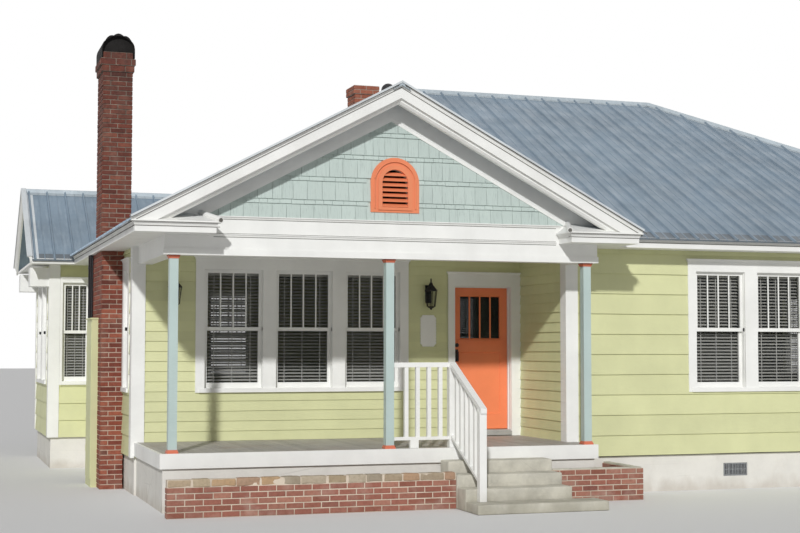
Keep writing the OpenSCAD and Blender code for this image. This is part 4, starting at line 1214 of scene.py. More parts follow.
@dataclass(frozen=True)
class RoofPlan:
    """Edges, ridges and slopes of the three roofs."""

    main: Solid
    gable: Solid
    wing: Solid
    slope: float
    wing_slope: float

    @classmethod
    def read(cls) -> "RoofPlan":
        """Reads the roofs from the frame."""
        return cls(node_box("main_roof"), node_box("porch_gable_roof"), node_box("wing_roof"),
                   slope_of("main_roof"), slope_of("wing_roof"))

    @property
    def eave(self) -> float:
        """Height of the main roof's upper edge at the eaves."""
        return self.main.high.z - self.half * self.slope

    @property
    def half(self) -> float:
        """Half the main roof's depth."""
        return self.main.size.y / 2

    @property
    def wing_eave(self) -> float:
        """Height of the wing roof's upper edge at its eaves."""
        return self.wing.high.z - self.wing.size.y / 2 * self.wing_slope

    @property
    def corners(self) -> dict[str, Vector]:
        """Names the corners of the roofs' edges and ridges.

        Returns:
            The corners by their names.
        """
        low, high, mid = self.main.low, self.main.high, self.main.mid
        gable, wing, eave = self.gable, self.wing, self.eave
        places = {
            "gable_left": (gable.low.x, gable.low.y, eave),
            "gable_right": (gable.high.x, gable.low.y, eave),
            "valley": (gable.high.x, low.y, eave),
            "front_right": (high.x, low.y, eave),
            "back_right": (high.x, high.y, eave),
            "back_left": (low.x, high.y, eave),
            "wing_meets_front": (low.x, wing.low.y, eave),
            "wing_meets_back": (low.x, wing.high.y, eave),
            "peak": (gable.mid.x, gable.low.y, gable.high.z),
            "joint": (gable.mid.x, low.y + gable.size.x / 2, gable.high.z),
            "ridge_left": (low.x + self.half, mid.y, high.z),
            "ridge_right": (high.x - self.half, mid.y, high.z),
            "wing_front": (wing.low.x, wing.low.y, self.wing_eave),
            "wing_back": (wing.low.x, wing.high.y, self.wing_eave),
            "wing_peak": (wing.low.x, wing.mid.y, wing.high.z),
        }
        return {name: Vector(place) for name, place in places.items()}

    def normal(self, side: Side, wing: bool = False) -> Vector:
        """Gives the upward normal of the slope that faces a side, on the main roof or on the wing's."""
        level = Vector((*side.value, 0.0)) * (self.wing_slope if wing else self.slope)
        return (level + UP).normalized()


def slope_faces(name: str) -> list[tuple[Vector, list[list[Vector]]]]:
    """Finds the sloping upper faces of a roof.

    Args:
        name: The roof's node.

    Returns:
        Each slope's upward normal and its faces.
    """
    groups: dict[tuple[int, int, int], tuple[Vector, list[list[Vector]]]] = {}
    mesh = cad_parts[name].data
    for face in mesh.polygons:
        n = face.normal
        if SLOPING[0] < n.z < SLOPING[1] and face.area > LEAST_FACE:
            group = groups.setdefault(tuple(round(c * NORMAL_STEPS) for c in n), (n.copy(), []))
            group[1].append([mesh.vertices[v].co.copy() for v in face.vertices])
    return list(groups.values())


def slope_of(name: str) -> float:
    """Gives the rise over run of a roof's slopes."""
    normal = slope_faces(name)[0][0]
    return math.hypot(normal.x, normal.y) / normal.z


@dataclass
class MetalRoof:
    """Ribs, edges, caps and valleys of the sheet metal roofs."""

    plan: RoofPlan
    rib_pitch: float = 0.305
    rib_base: float = 0.046
    rib_top: float = 0.018
    rib_rise: float = 0.026
    fine_between: int = 1
    fine_base: float = 0.022
    fine_taper: float = 0.35
    fine_rise: float = 0.006
    rib_tone: float = 0.6
    least_rib: float = 0.08
    seam: float = 0.005
    sunk: float = 0.002
    edge_pass: float = 0.092
    edge_in: float = 0.10
    edge_t: float = 0.003
    wing_pass: float = 0.052
    sheet: float = 0.006
    lip: float = 0.018
    rake_over: float = 0.010
    rake_past: float = 0.012
    rake_in: float = 0.11
    fold: float = 0.006
    fold_in: float = 0.002
    fold_t: float = 0.004
    fold_gap: float = 0.001
    roll: float = 0.046
    roll_steps: int = 6
    flange: float = 0.125
    cap_bite: float = 0.004
    cap_past: float = 0.07
    smooth: float = 35.0

    @staticmethod
    def axes(normal: Vector) -> tuple[Vector, Vector]:
        """Gives the directions along a slope's eaves and down the slope."""
        eave = UP.cross(normal).normalized()
        return eave, eave.cross(normal)

    def lines(self, normal: Vector, faces: list[list[Vector]], pitch: float
              ) -> Iterable[tuple[int, float, Pair]]:
        """Cuts a slope with evenly spaced lines that run down it.

        Args:
            normal: The slope's normal.
            faces: Its faces.
            pitch: Distance between lines.

        Yields:
            For each line its number, its place along the eaves and its range down the slope.
        """
        eave, fall = self.axes(normal)
        us = [eave.dot(p) for face in faces for p in face]
        first, last = min(us), max(us)
        count = int((last - first) / pitch)
        start = first + (last - first - count * pitch) / 2
        for k in range(count + 1):
            u = start + k * pitch
            spans = []
            for face in faces:
                hits = []
                for i, p in enumerate(face):
                    q = face[(i + 1) % len(face)]
                    a, b = eave.dot(p) - u, eave.dot(q) - u
                    if (a <= 0 < b) or (b <= 0 < a):
                        t = a / (a - b)
                        hits.append(fall.dot(p) + (fall.dot(q) - fall.dot(p)) * t)
                if len(hits) == 2:
                    spans.append((min(hits), max(hits)))
            merged: list[Pair] = []
            for low, high in sorted(spans):
                if merged and low <= merged[-1][1] + self.seam:
                    merged[-1] = (merged[-1][0], max(high, merged[-1][1]))
                else:
                    merged.append((low, high))
            for span in merged:
                if span[1] - span[0] > self.least_rib:
                    yield k, u, span

    def ribs(self, name: str, node: str, edge_pass: float) -> None:
        """Adds the ribs of one roof.

        Args:
            name: The piece's name.
            node: The roof's node.
            edge_pass: Length by which they pass the eaves, measured level.
        """
        draft = Draft()
        rng = random.Random(name)
        step = self.rib_pitch / (self.fine_between + 1)
        for normal, faces in slope_faces(node):
            eave, fall = self.axes(normal)
            level = normal.dot(faces[0][0])
            edge = max(fall.dot(p) for face in faces for p in face)
            for k, u, (low, high) in self.lines(normal, faces, step):
                wide = k % (self.fine_between + 1) == 0
                base, rise = (self.rib_base, self.rib_rise) if wide else (self.fine_base, self.fine_rise)
                top = self.rib_top if wide else self.fine_base * self.fine_taper
                end = high + edge_pass / normal.z if high > edge - SHORT else high
                section = [(-base / 2, -self.sunk), (base / 2, -self.sunk), (top / 2, rise), (-top / 2, rise)]
                draft.loft([[eave * (u + a) + fall * s + normal * (level + b) for a, b in section]
                            for s in (low, end)], rng.random() * self.rib_tone)
        draft.piece(name, Finish.ROOF, "roof_metal")

    def eaves(self) -> None:
        """Adds the lower edges of the sheets past the eaves boards, in a dark colour that paints their
        shadow.
        """
        draft = Draft()
        at = self.plan.corners
        main = [[at["gable_left"], at["wing_meets_front"]],
                [at["wing_meets_back"], at["back_left"], at["back_right"], at["front_right"], at["valley"],
                 at["gable_right"]]]
        inner = self.plan.main.low.x
        wing = [[Vector((inner, at["wing_front"].y, at["wing_front"].z)), at["wing_front"]],
                [at["wing_back"], Vector((inner, at["wing_back"].y, at["wing_back"].z))]]
        for paths, slope, reach in ((main, self.plan.slope, self.edge_pass),
                                    (wing, self.plan.wing_slope, self.wing_pass)):
            half, rise = self.sheet * 0.5, self.edge_in * slope
            fall, into = reach * slope, reach - self.edge_t
            section = [(half + rise, -self.edge_in), (-fall, reach), (-fall - self.lip, reach),
                       (-fall - self.lip, into), (-fall - self.sheet, into), (-half + rise, -self.edge_in)]
            for path in paths:
                draft.sweep(section, path, UP, tone=0.9)
        draft.piece("roof_eave_edges", Finish.DRIP, "roof_metal")

    def rakes(self) -> None:
        """Folds the sheets' edge trim over the raking boards."""
        draft = Draft()
        gable, wing = self.plan.gable, self.plan.wing
        lift = RAKES.high.z - gable.high.z
        depth = gable.low.y - RAKES.low.y + self.rake_over
        t, fold, lip = self.fold_t, self.fold, self.lip
        for peak, half, k, out in (
                (Vector((RAKES.mid.x, gable.low.y, RAKES.high.z)), RAKES.size.x / 2, self.plan.slope, AHEAD),
                (Vector((wing.low.x, WING_RAKES.mid.y, WING_RAKES.high.z)), WING_RAKES.size.y / 2,
                 self.plan.wing_slope, Vector((-1, 0, 0)))):
            half += self.rake_past
            along = UP.cross(out) * -1.0
            drop = lift / math.sqrt(1 + k * k)
            section = [(-self.rake_in, t - drop), (-fold, t - drop), (-fold, fold), (depth, fold),
                       (depth, -lip), (depth - t, -lip), (depth - t, self.fold_gap),
                       (-self.fold_in, self.fold_gap), (-self.fold_in, -drop), (-self.rake_in, -drop)]
            fall = UP * (half * k)
            draft.run(section, [peak - along * half - fall, peak, peak + along * half - fall], out, tone=0.95)
        draft.piece("roof_rake_edges", Finish.EDGE, "ridge_metal")

    def cap(self, draft: Draft, p: Vector, q: Vector, a: Vector, b: Vector) -> None:
        """Adds a rolled cap over the line where two slopes meet.

        Args:
            draft: Where it goes.
            p: Start of the line.
            q: End of the line.
            a: Normal of one slope.
            b: Normal of the other.
        """
        way = (q - p).normalized()
        left, right = (e if e.z < 0 else -e for e in (a.cross(way), b.cross(way)))
        roll, flange = self.roll, self.flange
        turns = [a.lerp(b, t / self.roll_steps).normalized() for t in range(self.roll_steps + 1)]
        draft.loft([[at + left * flange + a * self.sheet, at + left * roll + a * self.sheet,
                     *(at + turn * roll for turn in turns), at + right * roll + b * self.sheet,
                     at + right * flange + b * self.sheet, at + right * flange, at - UP * self.cap_bite,
                     at + left * flange] for at in (p, q)])

    def caps(self) -> None:
        """Adds the caps on the ridges and hips."""
        draft = Draft()
        at = self.plan.corners
        front, right, back, left = (self.plan.normal(side) for side in Side)
        grow = self.edge_pass / self.plan.half
        self.cap(draft, at["ridge_left"], at["ridge_right"], front, back)
        for corner, end, a, b in (("back_left", "ridge_left", left, back),
                                  ("front_right", "ridge_right", right, front),
                                  ("back_right", "ridge_right", right, back)):
            p, q = at[corner], at[end]
            self.cap(draft, p + (p - q) * grow, q, a, b)
        self.cap(draft, at["joint"], at["ridge_left"], left, front)
        self.cap(draft, at["peak"] + AHEAD * self.cap_past, at["joint"], left, right)
        draft.piece("roof_caps", Finish.RIDGE, "ridge_metal", replaces=("ridge_caps",), smooth=self.smooth)
        draft = Draft()
        wing_front, wing_back = (self.plan.normal(s, True) for s in (Side.FRONT, Side.REAR))
        inner = self.plan.main.low.x + (self.plan.wing.high.z - self.plan.eave) / self.plan.slope
        peak = at["wing_peak"]
        self.cap(draft, peak, Vector((inner, peak.y, peak.z)), wing_front, wing_back)
        draft.piece("wing_ridge_cap", Finish.RIDGE, "ridge_metal", smooth=self.smooth)

    def valley(self) -> None:
        """Lays the strip in the valley between the porch roof and the main roof."""
        draft = Draft()
        p, q = self.plan.corners["valley"], self.plan.corners["joint"]
        way = (q - p).normalized()
        sections = []
        for spot in (p, q):
            ring = []
            for n in (self.plan.normal(Side.RIGHT), self.plan.normal(Side.FRONT)):
                e = n.cross(way)
                e = e if e.z > 0 else -e
                ring.append((spot + e * self.flange + n * self.sheet, spot + e * self.flange - n * self.sunk))
            sections.append([ring[0][0], spot + UP * self.sheet, ring[1][0], ring[1][1],
                             spot - UP * self.cap_bite, ring[0][1]])
        draft.loft(sections, 0.2)
        draft.piece("roof_valley", Finish.RIDGE, "ridge_metal")

    def build(self) -> None:
        """Dresses all three roofs."""
        self.ribs("main_roof_ribs", "main_roof", self.edge_pass)
        self.ribs("porch_roof_ribs", "porch_gable_roof", self.edge_pass)
        self.ribs("wing_roof_ribs", "wing_roof", self.wing_pass)
        self.eaves()
        self.rakes()
        self.caps()
        self.valley()


def rake_solids() -> tuple[Solid, Solid]:
    """Gives the boxes of the porch gable's raking boards and of the wing's."""
    boards = solids("rake_boards")
    return min(boards, key=lambda s: s.low.y), min(boards, key=lambda s: s.low.x)


RAKES, WING_RAKES = rake_solids()
"""Boxes of the raking boards."""


def rake_path(plan: RoofPlan, y: float, top: float) -> list[Vector]:
    """Draws a line up one slope of the porch gable and down the other, from the height of the eaves boards.

    Args:
        plan: The roofs.
        y: Place of the line from front to back.
        top: Height of its peak.

    Returns:
        The line's three points.
    """
    low, mid = node_box("fascia_boards").high.z, RAKES.mid.x
    half = (top - low) / plan.slope
    return [Vector((mid - half, y, low)), Vector((mid, y, top)), Vector((mid + half, y, low))]


@dataclass
class GableFace:
    """Vent bead, shingles, bed mould, rolled hips and inner trim of the porch gable."""

    plan: RoofPlan
    wide: float = 0.235
    narrow: float = 0.055
    first: float = 0.18
    butt: float = 0.018
    top: float = 0.004
    gap: float = 0.004
    widths: Pair = (0.10, 0.19)
    droop: float = 0.005
    least_droop: float = 0.6
    uneven: float = 0.003
    least_row: float = 0.02
    vent_lap: float = 0.03
    bed: float = 0.055
    bed_out: float = 0.050
    bed_top: float = 0.012
    bed_lip: float = 0.008
    bed_gap: float = 0.001
    bed_in: float = 0.06
    hip_run: float = 0.165
    hip_radius: float = 0.036
    hip_rise: float = 0.4
    hip_sides: int = 14
    mouth: float = 0.7
    mouth_at: Pair = (-0.01, 0.02)
    trim: float = 0.040
    trim_t: float = 0.022
    ring: float = 0.84
    ring_r: float = 0.007
    ring_steps: int = 24

    def shingles(self) -> None:
        """Hangs the shingles."""
        draft = Draft()
        rng = random.Random("shingles")
        box, vent = node_box("front_gable_wall"), node_box("gable_vent")
        wall = Wall(Side.FRONT, -box.low.y)
        low, height, row = box.low.z, self.first, 0
        radius = vent.size.x / 2
        arch = radius - self.vent_lap
        while low < box.high.z - self.least_row:
            high = min(low + height, box.high.z)
            u = box.low.x - rng.random() * self.widths[0]
            while u < box.high.x:
                w = rng.uniform(*self.widths)
                mid_u, mid_z = u + w / 2 - vent.mid.x, (low + high) / 2
                inside = abs(mid_u) < arch and vent.low.z + self.vent_lap < mid_z < vent.high.z - radius
                inside = inside or math.hypot(mid_u, mid_z - vent.high.z + radius) < arch
                drop = rng.random() * self.droop if row else 0.0
                other = drop * rng.uniform(self.least_droop, 1.0)
                outline = under_gable([(u + self.gap, low - drop), (u + w, low - other), (u + w, high),
                                       (u + self.gap, high)], (box.mid.x, box.high.z), self.plan.slope)
                if len(outline) > 2 and not inside:
                    more = self.butt + rng.random() * self.uneven - self.top
                    draft.plate(wall, outline, lambda z: self.top + more * min(1.0, (high - z) / height),
                                tone=rng.random())
                u += w
            low = high
            row += 1
            height = self.narrow if row % 2 else self.wide
        draft.piece("gable_shingles", Finish.SHINGLE, "shingles")

    def bed_mould(self) -> None:
        """Runs a mould behind the lower edge of the raking boards."""
        draft = Draft()
        foot = min(p.z for p in RAKES.points if abs(p.x - RAKES.mid.x) < NEAR)
        b, o, top, gap, into = self.bed, self.bed_out, self.bed_top, self.bed_gap, -self.bed_out - self.bed_in
        section = [(-gap, top), (-gap, -self.bed_lip), (-o * 0.3, -self.bed_lip), (-o * 0.3, -b * 0.5),
                   (-o * 0.55, -b * 0.72), (-o * 0.9, -b), (into, -b), (into, top)]
        draft.run(section, rake_path(self.plan, self.plan.gable.low.y, foot), AHEAD)
        draft.piece("rake_bed_mould", Finish.WHITE, "white_trim")

    def rolled_hips(self) -> None:
        """Rolls metal over the hips of the small roofs on the eave returns, with painted shade in their open
        ends.
        """
        draft, mouth_shades = Draft(), Draft()
        top = node_box("fascia_boards").high.z
        for part in (s for s in solids("eave_returns") if s.low.y < self.plan.gable.low.y):
            way = 1.0 if part.mid.x < self.plan.gable.mid.x else -1.0
            edge = part.high.x if way > 0 else part.low.x
            lift = self.hip_radius * self.hip_rise
            start = Vector((edge, part.low.y, top + lift))
            end = Vector((edge - way * self.hip_run, part.high.y, part.high.z + lift))
            draft.tube([start, start.lerp(end, 0.5), end], lambda t: self.hip_radius, self.hip_sides)
            # A dark plug just inside each open end of the roll is painted shade.
            mouth_shades.tube([start.lerp(end, t) for t in self.mouth_at], lambda t: self.hip_radius * self.mouth,
                        self.hip_sides)
        draft.piece("return_rolled_hips", Finish.WHITE, "white_trim", smooth=40)
        mouth_shades.piece("return_hip_mouth_shade", Finish.JOINT, "white_trim")

    def inner_trim(self) -> None:
        """Runs a white board down both slopes between the shingles and the soffit."""
        draft = Draft()
        board = next(s for s in solids("rake_boards")
                     if s.size.x > s.size.y and s.low.y > RAKES.low.y + self.trim)
        box = node_box("front_gable_wall")
        wall = Wall(Side.FRONT, -box.low.y)
        mid, low = board.mid.x, box.low.z
        peak = min(p.z for p in board.points if abs(p.x - mid) < NEAR)
        half, inset = (peak - low) / self.plan.slope, self.trim / self.plan.slope
        for way in (-1.0, 1.0):
            foot = mid + way * half
            outline = [(mid, peak - self.trim), (foot - way * inset, low), (foot, low),
                       (foot, low + self.trim), (mid, peak + self.trim)]
            draft.plate(wall, outline if way > 0 else outline[::-1], lambda z: self.trim_t)
        draft.piece("gable_inner_trim", Finish.WHITE, "white_trim")

    def vent_ring(self) -> None:
        """Bends a bead around the face of the arched vent."""
        draft = Draft()
        box = node_box("gable_vent")
        half = box.size.x / 2
        radius, spring, foot = half * self.ring, box.high.z - half, box.low.z + half - half * self.ring
        turns = [math.pi * k / self.ring_steps for k in range(self.ring_steps + 1)]
        arch = [(box.mid.x - radius * math.cos(t), spring + radius * math.sin(t)) for t in turns]
        path = [(box.mid.x - radius, foot), *arch, (box.mid.x + radius, foot)]
        draft.tube([Vector((x, box.low.y, z)) for x, z in path], lambda t: self.ring_r, 8)
        draft.piece("vent_bead", Finish.VENT, "door_paint", smooth=60)

    def build(self) -> None:
        """Dresses the gable."""
        self.vent_ring()
        self.shingles()
        self.bed_mould()
        self.rolled_hips()
        self.inner_trim()


@dataclass
class ShadowLines:
    """Dark strips of painted shadow along the mouldings and under the lowest boards."""

    plan: RoofPlan
    shell: Shell
    inset: float = 0.030
    base_gap: float = 0.014
    wide: float = 0.0075
    proud: float = 0.0015
    deep: float = 0.007
    foot_in: float = 0.037
    foot_up: float = 0.073
    foot_drop: float = 0.0703
    lip_in: float = 0.0063
    lip_up: float = 0.1176
    lip_drop: float = 0.0197
    beam_in: float = 0.025
    beam_ups: tuple[float, ...] = (0.228, 0.270, 0.443)
    end_in: float = 0.1

    def front(self, draft: Draft, x: Pair, y: float, top: float) -> None:
        """Adds a level strip of painted shadow on a face that looks to the front."""
        draft.block((x[0], y - self.proud, top - self.wide), (x[1], y + self.deep, top))

    def level(self, draft: Draft) -> None:
        """Adds the level strips of painted shadow on the eaves, the eave returns, the foundation and the
        beam.

        Args:
            draft: Where they go.
        """
        fronts = [s for s in solids("eave_returns") if s.low.y < self.plan.gable.low.y]
        left, right = sorted(fronts, key=lambda s: s.mid.x)
        base = left.low.z
        eave = max(solids("fascia_boards"), key=lambda s: s.high.x)
        eave_front = min(p.y for p in eave.points if p.x > eave.high.x - self.end_in)
        side_end = min(solids("fascia_boards"), key=lambda s: s.high.x).high.y - self.end_in
        for inward, up in ((self.foot_in, self.foot_up), (self.lip_in, self.lip_up)):
            self.front(draft, (left.low.x + inward, left.high.x), left.low.y + inward, base + up)
            self.front(draft, (right.low.x, right.high.x - inward), right.low.y + inward, base + up)
            self.front(draft, (right.high.x, eave.high.x - inward), eave_front + inward, base + up)
            x = left.low.x + inward
            draft.block((x - self.proud, left.low.y + inward, base + up - self.wide),
                        (x + self.deep, side_end, base + up))
        self.foot(draft)
        beam = node_box("porch_beam")
        for up in self.beam_ups:
            self.front(draft, (left.high.x, right.low.x), beam.low.y + self.beam_in, beam.low.z + up)

    def foot(self, draft: Draft) -> None:
        """Adds the strip of painted shadow under the lowest boards of the right part of the house.

        Args:
            draft: Where it goes.
        """
        high, left = node_box("foundation").high, node_box("foundation").low.x
        start, front = node_box("porch_base").high.x, -self.shell.front.face + self.inset
        low, top, proud, deep = high.z - self.base_gap, high.z - self.proud, self.proud, self.deep
        draft.block((start, front - proud, low), (high.x + proud, front + deep, top))
        draft.block((high.x - deep, front, low), (high.x + proud, high.y, top))
        draft.block((high.x, high.y - deep, low), (left, high.y + proud, top))

    def raking(self, draft: Draft) -> None:
        """Adds the strips of painted shadow along the raking crown.

        Args:
            draft: Where they go.
        """
        section = [(self.proud, 0.0), (self.proud, -self.wide), (-self.deep, -self.wide), (-self.deep, 0.0)]
        for inward, drop in ((self.foot_in, self.foot_drop), (self.lip_in, self.lip_drop)):
            draft.run(section, rake_path(self.plan, RAKES.low.y + inward, RAKES.high.z - drop), AHEAD)

    def build(self) -> None:
        """Adds all strips of painted shadow."""
        draft = Draft()
        self.level(draft)
        self.raking(draft)
        draft.piece("painted_shadow_strips", Finish.JOINT, "white_trim")


@dataclass
class Brickwork:
    """Bricks of both chimneys and of the planters."""

    length: float = 0.203
    joint: float = 0.012
    course: float = 0.067
    proud: float = 0.006
    sunk: float = 0.015
    chamfer: float = 0.003
    least_run: float = 0.02
    least_brick: float = 0.05
    sag: float = 0.0012
    uneven: float = 0.002
    roof_foot: float = 1.9
    neck: float = 0.05
    cap_in: float = 0.004
    cap_sunk: float = 0.006
    cap_t: float = 0.016
    cap_wear: Wear = Wear(0.01, 0.06, 0.010)
    stone_h: float = 0.085
    stone_lengths: Pair = (0.20, 0.33)
    least_stone: float = 0.12
    stone_gap: float = 0.004
    stone_out: float = 0.010
    stone_back: float = 0.008
    stone_wave: float = 0.006
    stone_dip: Pair = (-0.004, 0.003)
    stone_rise: float = 0.010
    stone_wear: Wear = Wear(0.014, 0.035, 0.012)

    def brick(self, draft: Draft, wall: Wall, u: Pair, z: Pair, out: float, tone: float) -> None:
        """Adds one brick face with chamfered edges.

        Args:
            draft: Where it goes.
            wall: Plane of the brickwork.
            u: Range along the wall.
            z: Range of height.
            out: Distance of its face in front of the wall.
            tone: Shade.
        """
        c = self.chamfer
        draft.loft([wall.ring((u[0] + i, u[1] - i), (z[0] + i, z[1] - i), o)
                    for i, o in ((0.0, -self.sunk), (0.0, out - c), (c, out))], tone)

    def ring(self, draft: Draft, rng: random.Random, box: Solid, sides: Sequence[Side] = tuple(Side),
             odd: int = 0) -> None:
        """Faces a block with bricks in running bond.

        Args:
            draft: Where they go.
            rng: Source of the variety.
            box: The block.
            sides: Its sides that get bricks.
            odd: Shift of the bond by a row.
        """
        rows = max(1, round(box.size.z / self.course))
        height = box.size.z / rows
        for side in sides:
            x, y = side.value
            face = x * (box.high.x if x > 0 else box.low.x) + y * (box.high.y if y > 0 else box.low.y)
            wall = Wall(side, face)
            (u0, u1), (z0, _), _ = wall.spans(box)
            for row in range(rows):
                owns = (row + odd + (x != 0)) % 2 == 0
                low = z0 + row * height + self.joint / 2
                edge = self.proud if owns else 0.0
                u = u0 - edge
                first = self.length if owns else (self.length - self.joint) / 2
                while u < u1 + edge - self.least_run:
                    end = min(u + first, u1 + edge)
                    if u1 + edge - end < self.least_brick:
                        end = u1 + edge
                    sag = rng.uniform(-self.sag, self.sag)
                    self.brick(draft, wall, (u, end), (low + sag, low + height - self.joint + sag),
                               self.proud + rng.uniform(-self.uneven, self.uneven), rng.random())
                    u = end + self.joint
                    first = self.length

    def side_chimney(self) -> None:
        """Lays the side chimney, course by course."""
        draft = Draft()
        rng = random.Random("side chimney")
        whole, stack = sorted(solids("side_chimney"), key=lambda s: s.low.z)
        foot, soffit = foot_of("side_chimney"), node_box("ceiling_soffit").low.z
        self.ring(draft, rng, Solid(foot.low, Vector((foot.high.x, foot.high.y, soffit))),
                  (Side.FRONT, Side.LEFT, Side.REAR))
        corbel = (whole.high.x - stack.high.x) / 2
        step = stack.size.z
        first = whole.high.z - 2 * step
        inner = Solid(Vector((stack.low.x, stack.low.y, soffit)), Vector((stack.high.x, stack.high.y, first)))
        self.ring(draft, rng, inner)
        for i in (1, 2):
            grow = Vector((corbel * i, corbel * i, 0))
            low, high = inner.low - grow, inner.high + grow
            low.z, high.z = first + (i - 1) * step, first + i * step
            self.ring(draft, rng, Solid(low, high), odd=i)
        self.ring(draft, rng, stack, odd=1)
        draft.piece("side_chimney_bricks", Finish.BRICK, "brick")

    def small_chimney(self) -> None:
        """Lays the small chimney on the roof."""
        draft = Draft()
        rng = random.Random("small chimney")
        box, shaft = node_box("small_chimney"), foot_of("small_chimney")
        neck = max(p.z for p in solids("small_chimney")[0].points if p.z < box.high.z - self.neck)
        self.ring(draft, rng, Solid(Vector((shaft.low.x, shaft.low.y, box.low.z + self.roof_foot)),
                                    Vector((shaft.high.x, shaft.high.y, neck))))
        self.ring(draft, rng, Solid(Vector((box.low.x, box.low.y, neck)), box.high), odd=1)
        draft.piece("small_chimney_bricks", Finish.ROOF_BRICK, "brick")

    def planter(self) -> None:
        """Lays the brick planter beside the steps and its mortar top."""
        draft = Draft()
        rng = random.Random("planter")
        box = node_box("planter_wall")
        points = solids("planter_wall")[0].points
        inner = max(p.x for p in points if p.x < box.high.x - SHORT)
        back = min(p.y for p in points if p.y > box.low.y + SHORT)
        arms = [Solid(box.low, Vector((box.high.x, back, box.high.z))),
                Solid(Vector((inner, back, 0.0)), box.high)]
        self.ring(draft, rng, arms[0])
        self.ring(draft, rng, arms[1], (Side.RIGHT, Side.LEFT))
        draft.piece("planter_bricks", Finish.PLANTER, "brick")
        draft = Draft()
        for low, high in ((arm.low, arm.high) for arm in arms):
            draft.worn((low.x + self.cap_in, low.y + self.cap_in, high.z - self.cap_sunk),
                       (high.x - self.cap_in, high.y - self.cap_in, high.z + self.cap_t), self.cap_wear)
        draft.piece("planter_top", Finish.CONCRETE, "concrete", smooth=50)

    def bed(self) -> None:
        """Lays the flower bed's wall: a stone course on brick courses."""
        draft = Draft()
        rng = random.Random("bed")
        box = node_box("flower_bed_wall")
        top = box.high.z - self.stone_h
        self.ring(draft, rng, Solid(box.low, Vector((box.high.x, box.high.y, top))))
        draft.piece("bed_bricks", Finish.PLANTER, "brick")
        draft = Draft()
        x = box.low.x
        while x < box.high.x - self.least_brick:
            end = min(x + rng.uniform(*self.stone_lengths), box.high.x)
            if box.high.x - end < self.least_stone:
                end = box.high.x
            low = (x + self.stone_gap, box.low.y - self.stone_out - rng.random() * self.stone_wave,
                   top + rng.uniform(*self.stone_dip))
            high = (end - self.stone_gap, box.high.y + self.stone_back,
                    box.high.z + rng.uniform(0.0, self.stone_rise))
            draft.worn(low, high, self.stone_wear, rng.random())
            x = end
        draft.piece("bed_stones", Finish.STONE, "bed_stone", smooth=50)

    def build(self) -> None:
        """Lays all bricks and stones."""
        self.side_chimney()
        self.small_chimney()
        self.planter()
        self.bed()


@dataclass
class PorchWork:
    """Deck boards, steps, post lines and ceiling boards of the porch."""

    shell: Shell
    board: float = 0.089
    board_gap: float = 0.004
    uneven: float = 0.0015
    room_play: float = 0.02
    wear: Wear = Wear(0.016, 0.05, 0.006)
    line: float = 0.006
    line_out: float = 0.003
    cap_level: float = 2.0
    ceiling: float = 0.082
    ceiling_gap: float = 0.003
    ceiling_t: float = 0.007
    ceiling_in: tuple[float, float, float] = (0.17, 0.22, 0.2)

    def deck(self) -> None:
        """Lays the floor boards from front to back."""
        draft = Draft()
        rng = random.Random("deck")
        box = node_box("porch_floor")
        room, front = self.shell.porch_side, self.shell.front
        x = box.low.x
        while x < box.high.x - SHORT:
            end = min(x + self.board, box.high.x)
            back = -self.shell.porch.face if end <= -room.face + self.room_play else -front.face
            top = box.high.z - rng.random() * self.uneven
            draft.block((x + self.board_gap / 2, box.low.y, box.low.z), (end - self.board_gap / 2, back, top),
                        rng.random())
            x = end
        draft.piece("deck_boards", Finish.DECK, "deck", replaces=("porch_floor",))

    def steps(self) -> None:
        """Casts the worn steps and the slab at their foot."""
        for name in ("step_upper", "step_middle", "step_lower", "step_slab"):
            draft = Draft()
            box = node_box(name)
            draft.worn(box.low, box.high, self.wear)
            draft.piece(name + "_worn", Finish.CONCRETE, "concrete", replaces=(name,), smooth=60)

    def post_lines(self) -> None:
        """Paints a dark line round the top of every post's cap."""
        draft = Draft()
        for part in solids("post_trim"):
            if part.low.z > self.cap_level:
                grow = Vector((self.line_out, self.line_out, 0.0))
                low, high = part.low - grow, part.high + grow
                low.z = high.z - self.line
                draft.block(low, high)
        draft.piece("post_cap_lines", Finish.CAP_LINE, "door_paint")

    def ceiling_boards(self) -> None:
        """Boards the porch ceiling."""
        draft = Draft()
        rng = random.Random("ceiling")
        beam, box = node_box("porch_beam"), node_box("porch_floor")
        left_in, front_in, right_in = self.ceiling_in
        y, back, top = beam.low.y + front_in, -self.shell.porch.face, self.shell.soffit
        while y < back - SHORT:
            end = min(y + self.ceiling, back)
            right = -self.shell.porch_side.face if end > -self.shell.front.face else box.high.x - right_in
            draft.block((box.low.x + left_in, y + self.ceiling_gap, top - self.ceiling_t), (right, end, top),
                        rng.random())
            y = end
        draft.piece("porch_ceiling_boards", Finish.WHITE, "white_trim")

    def build(self) -> None:
        """Finishes the porch."""
        self.deck()
        self.steps()
        self.post_lines()
        self.ceiling_boards()


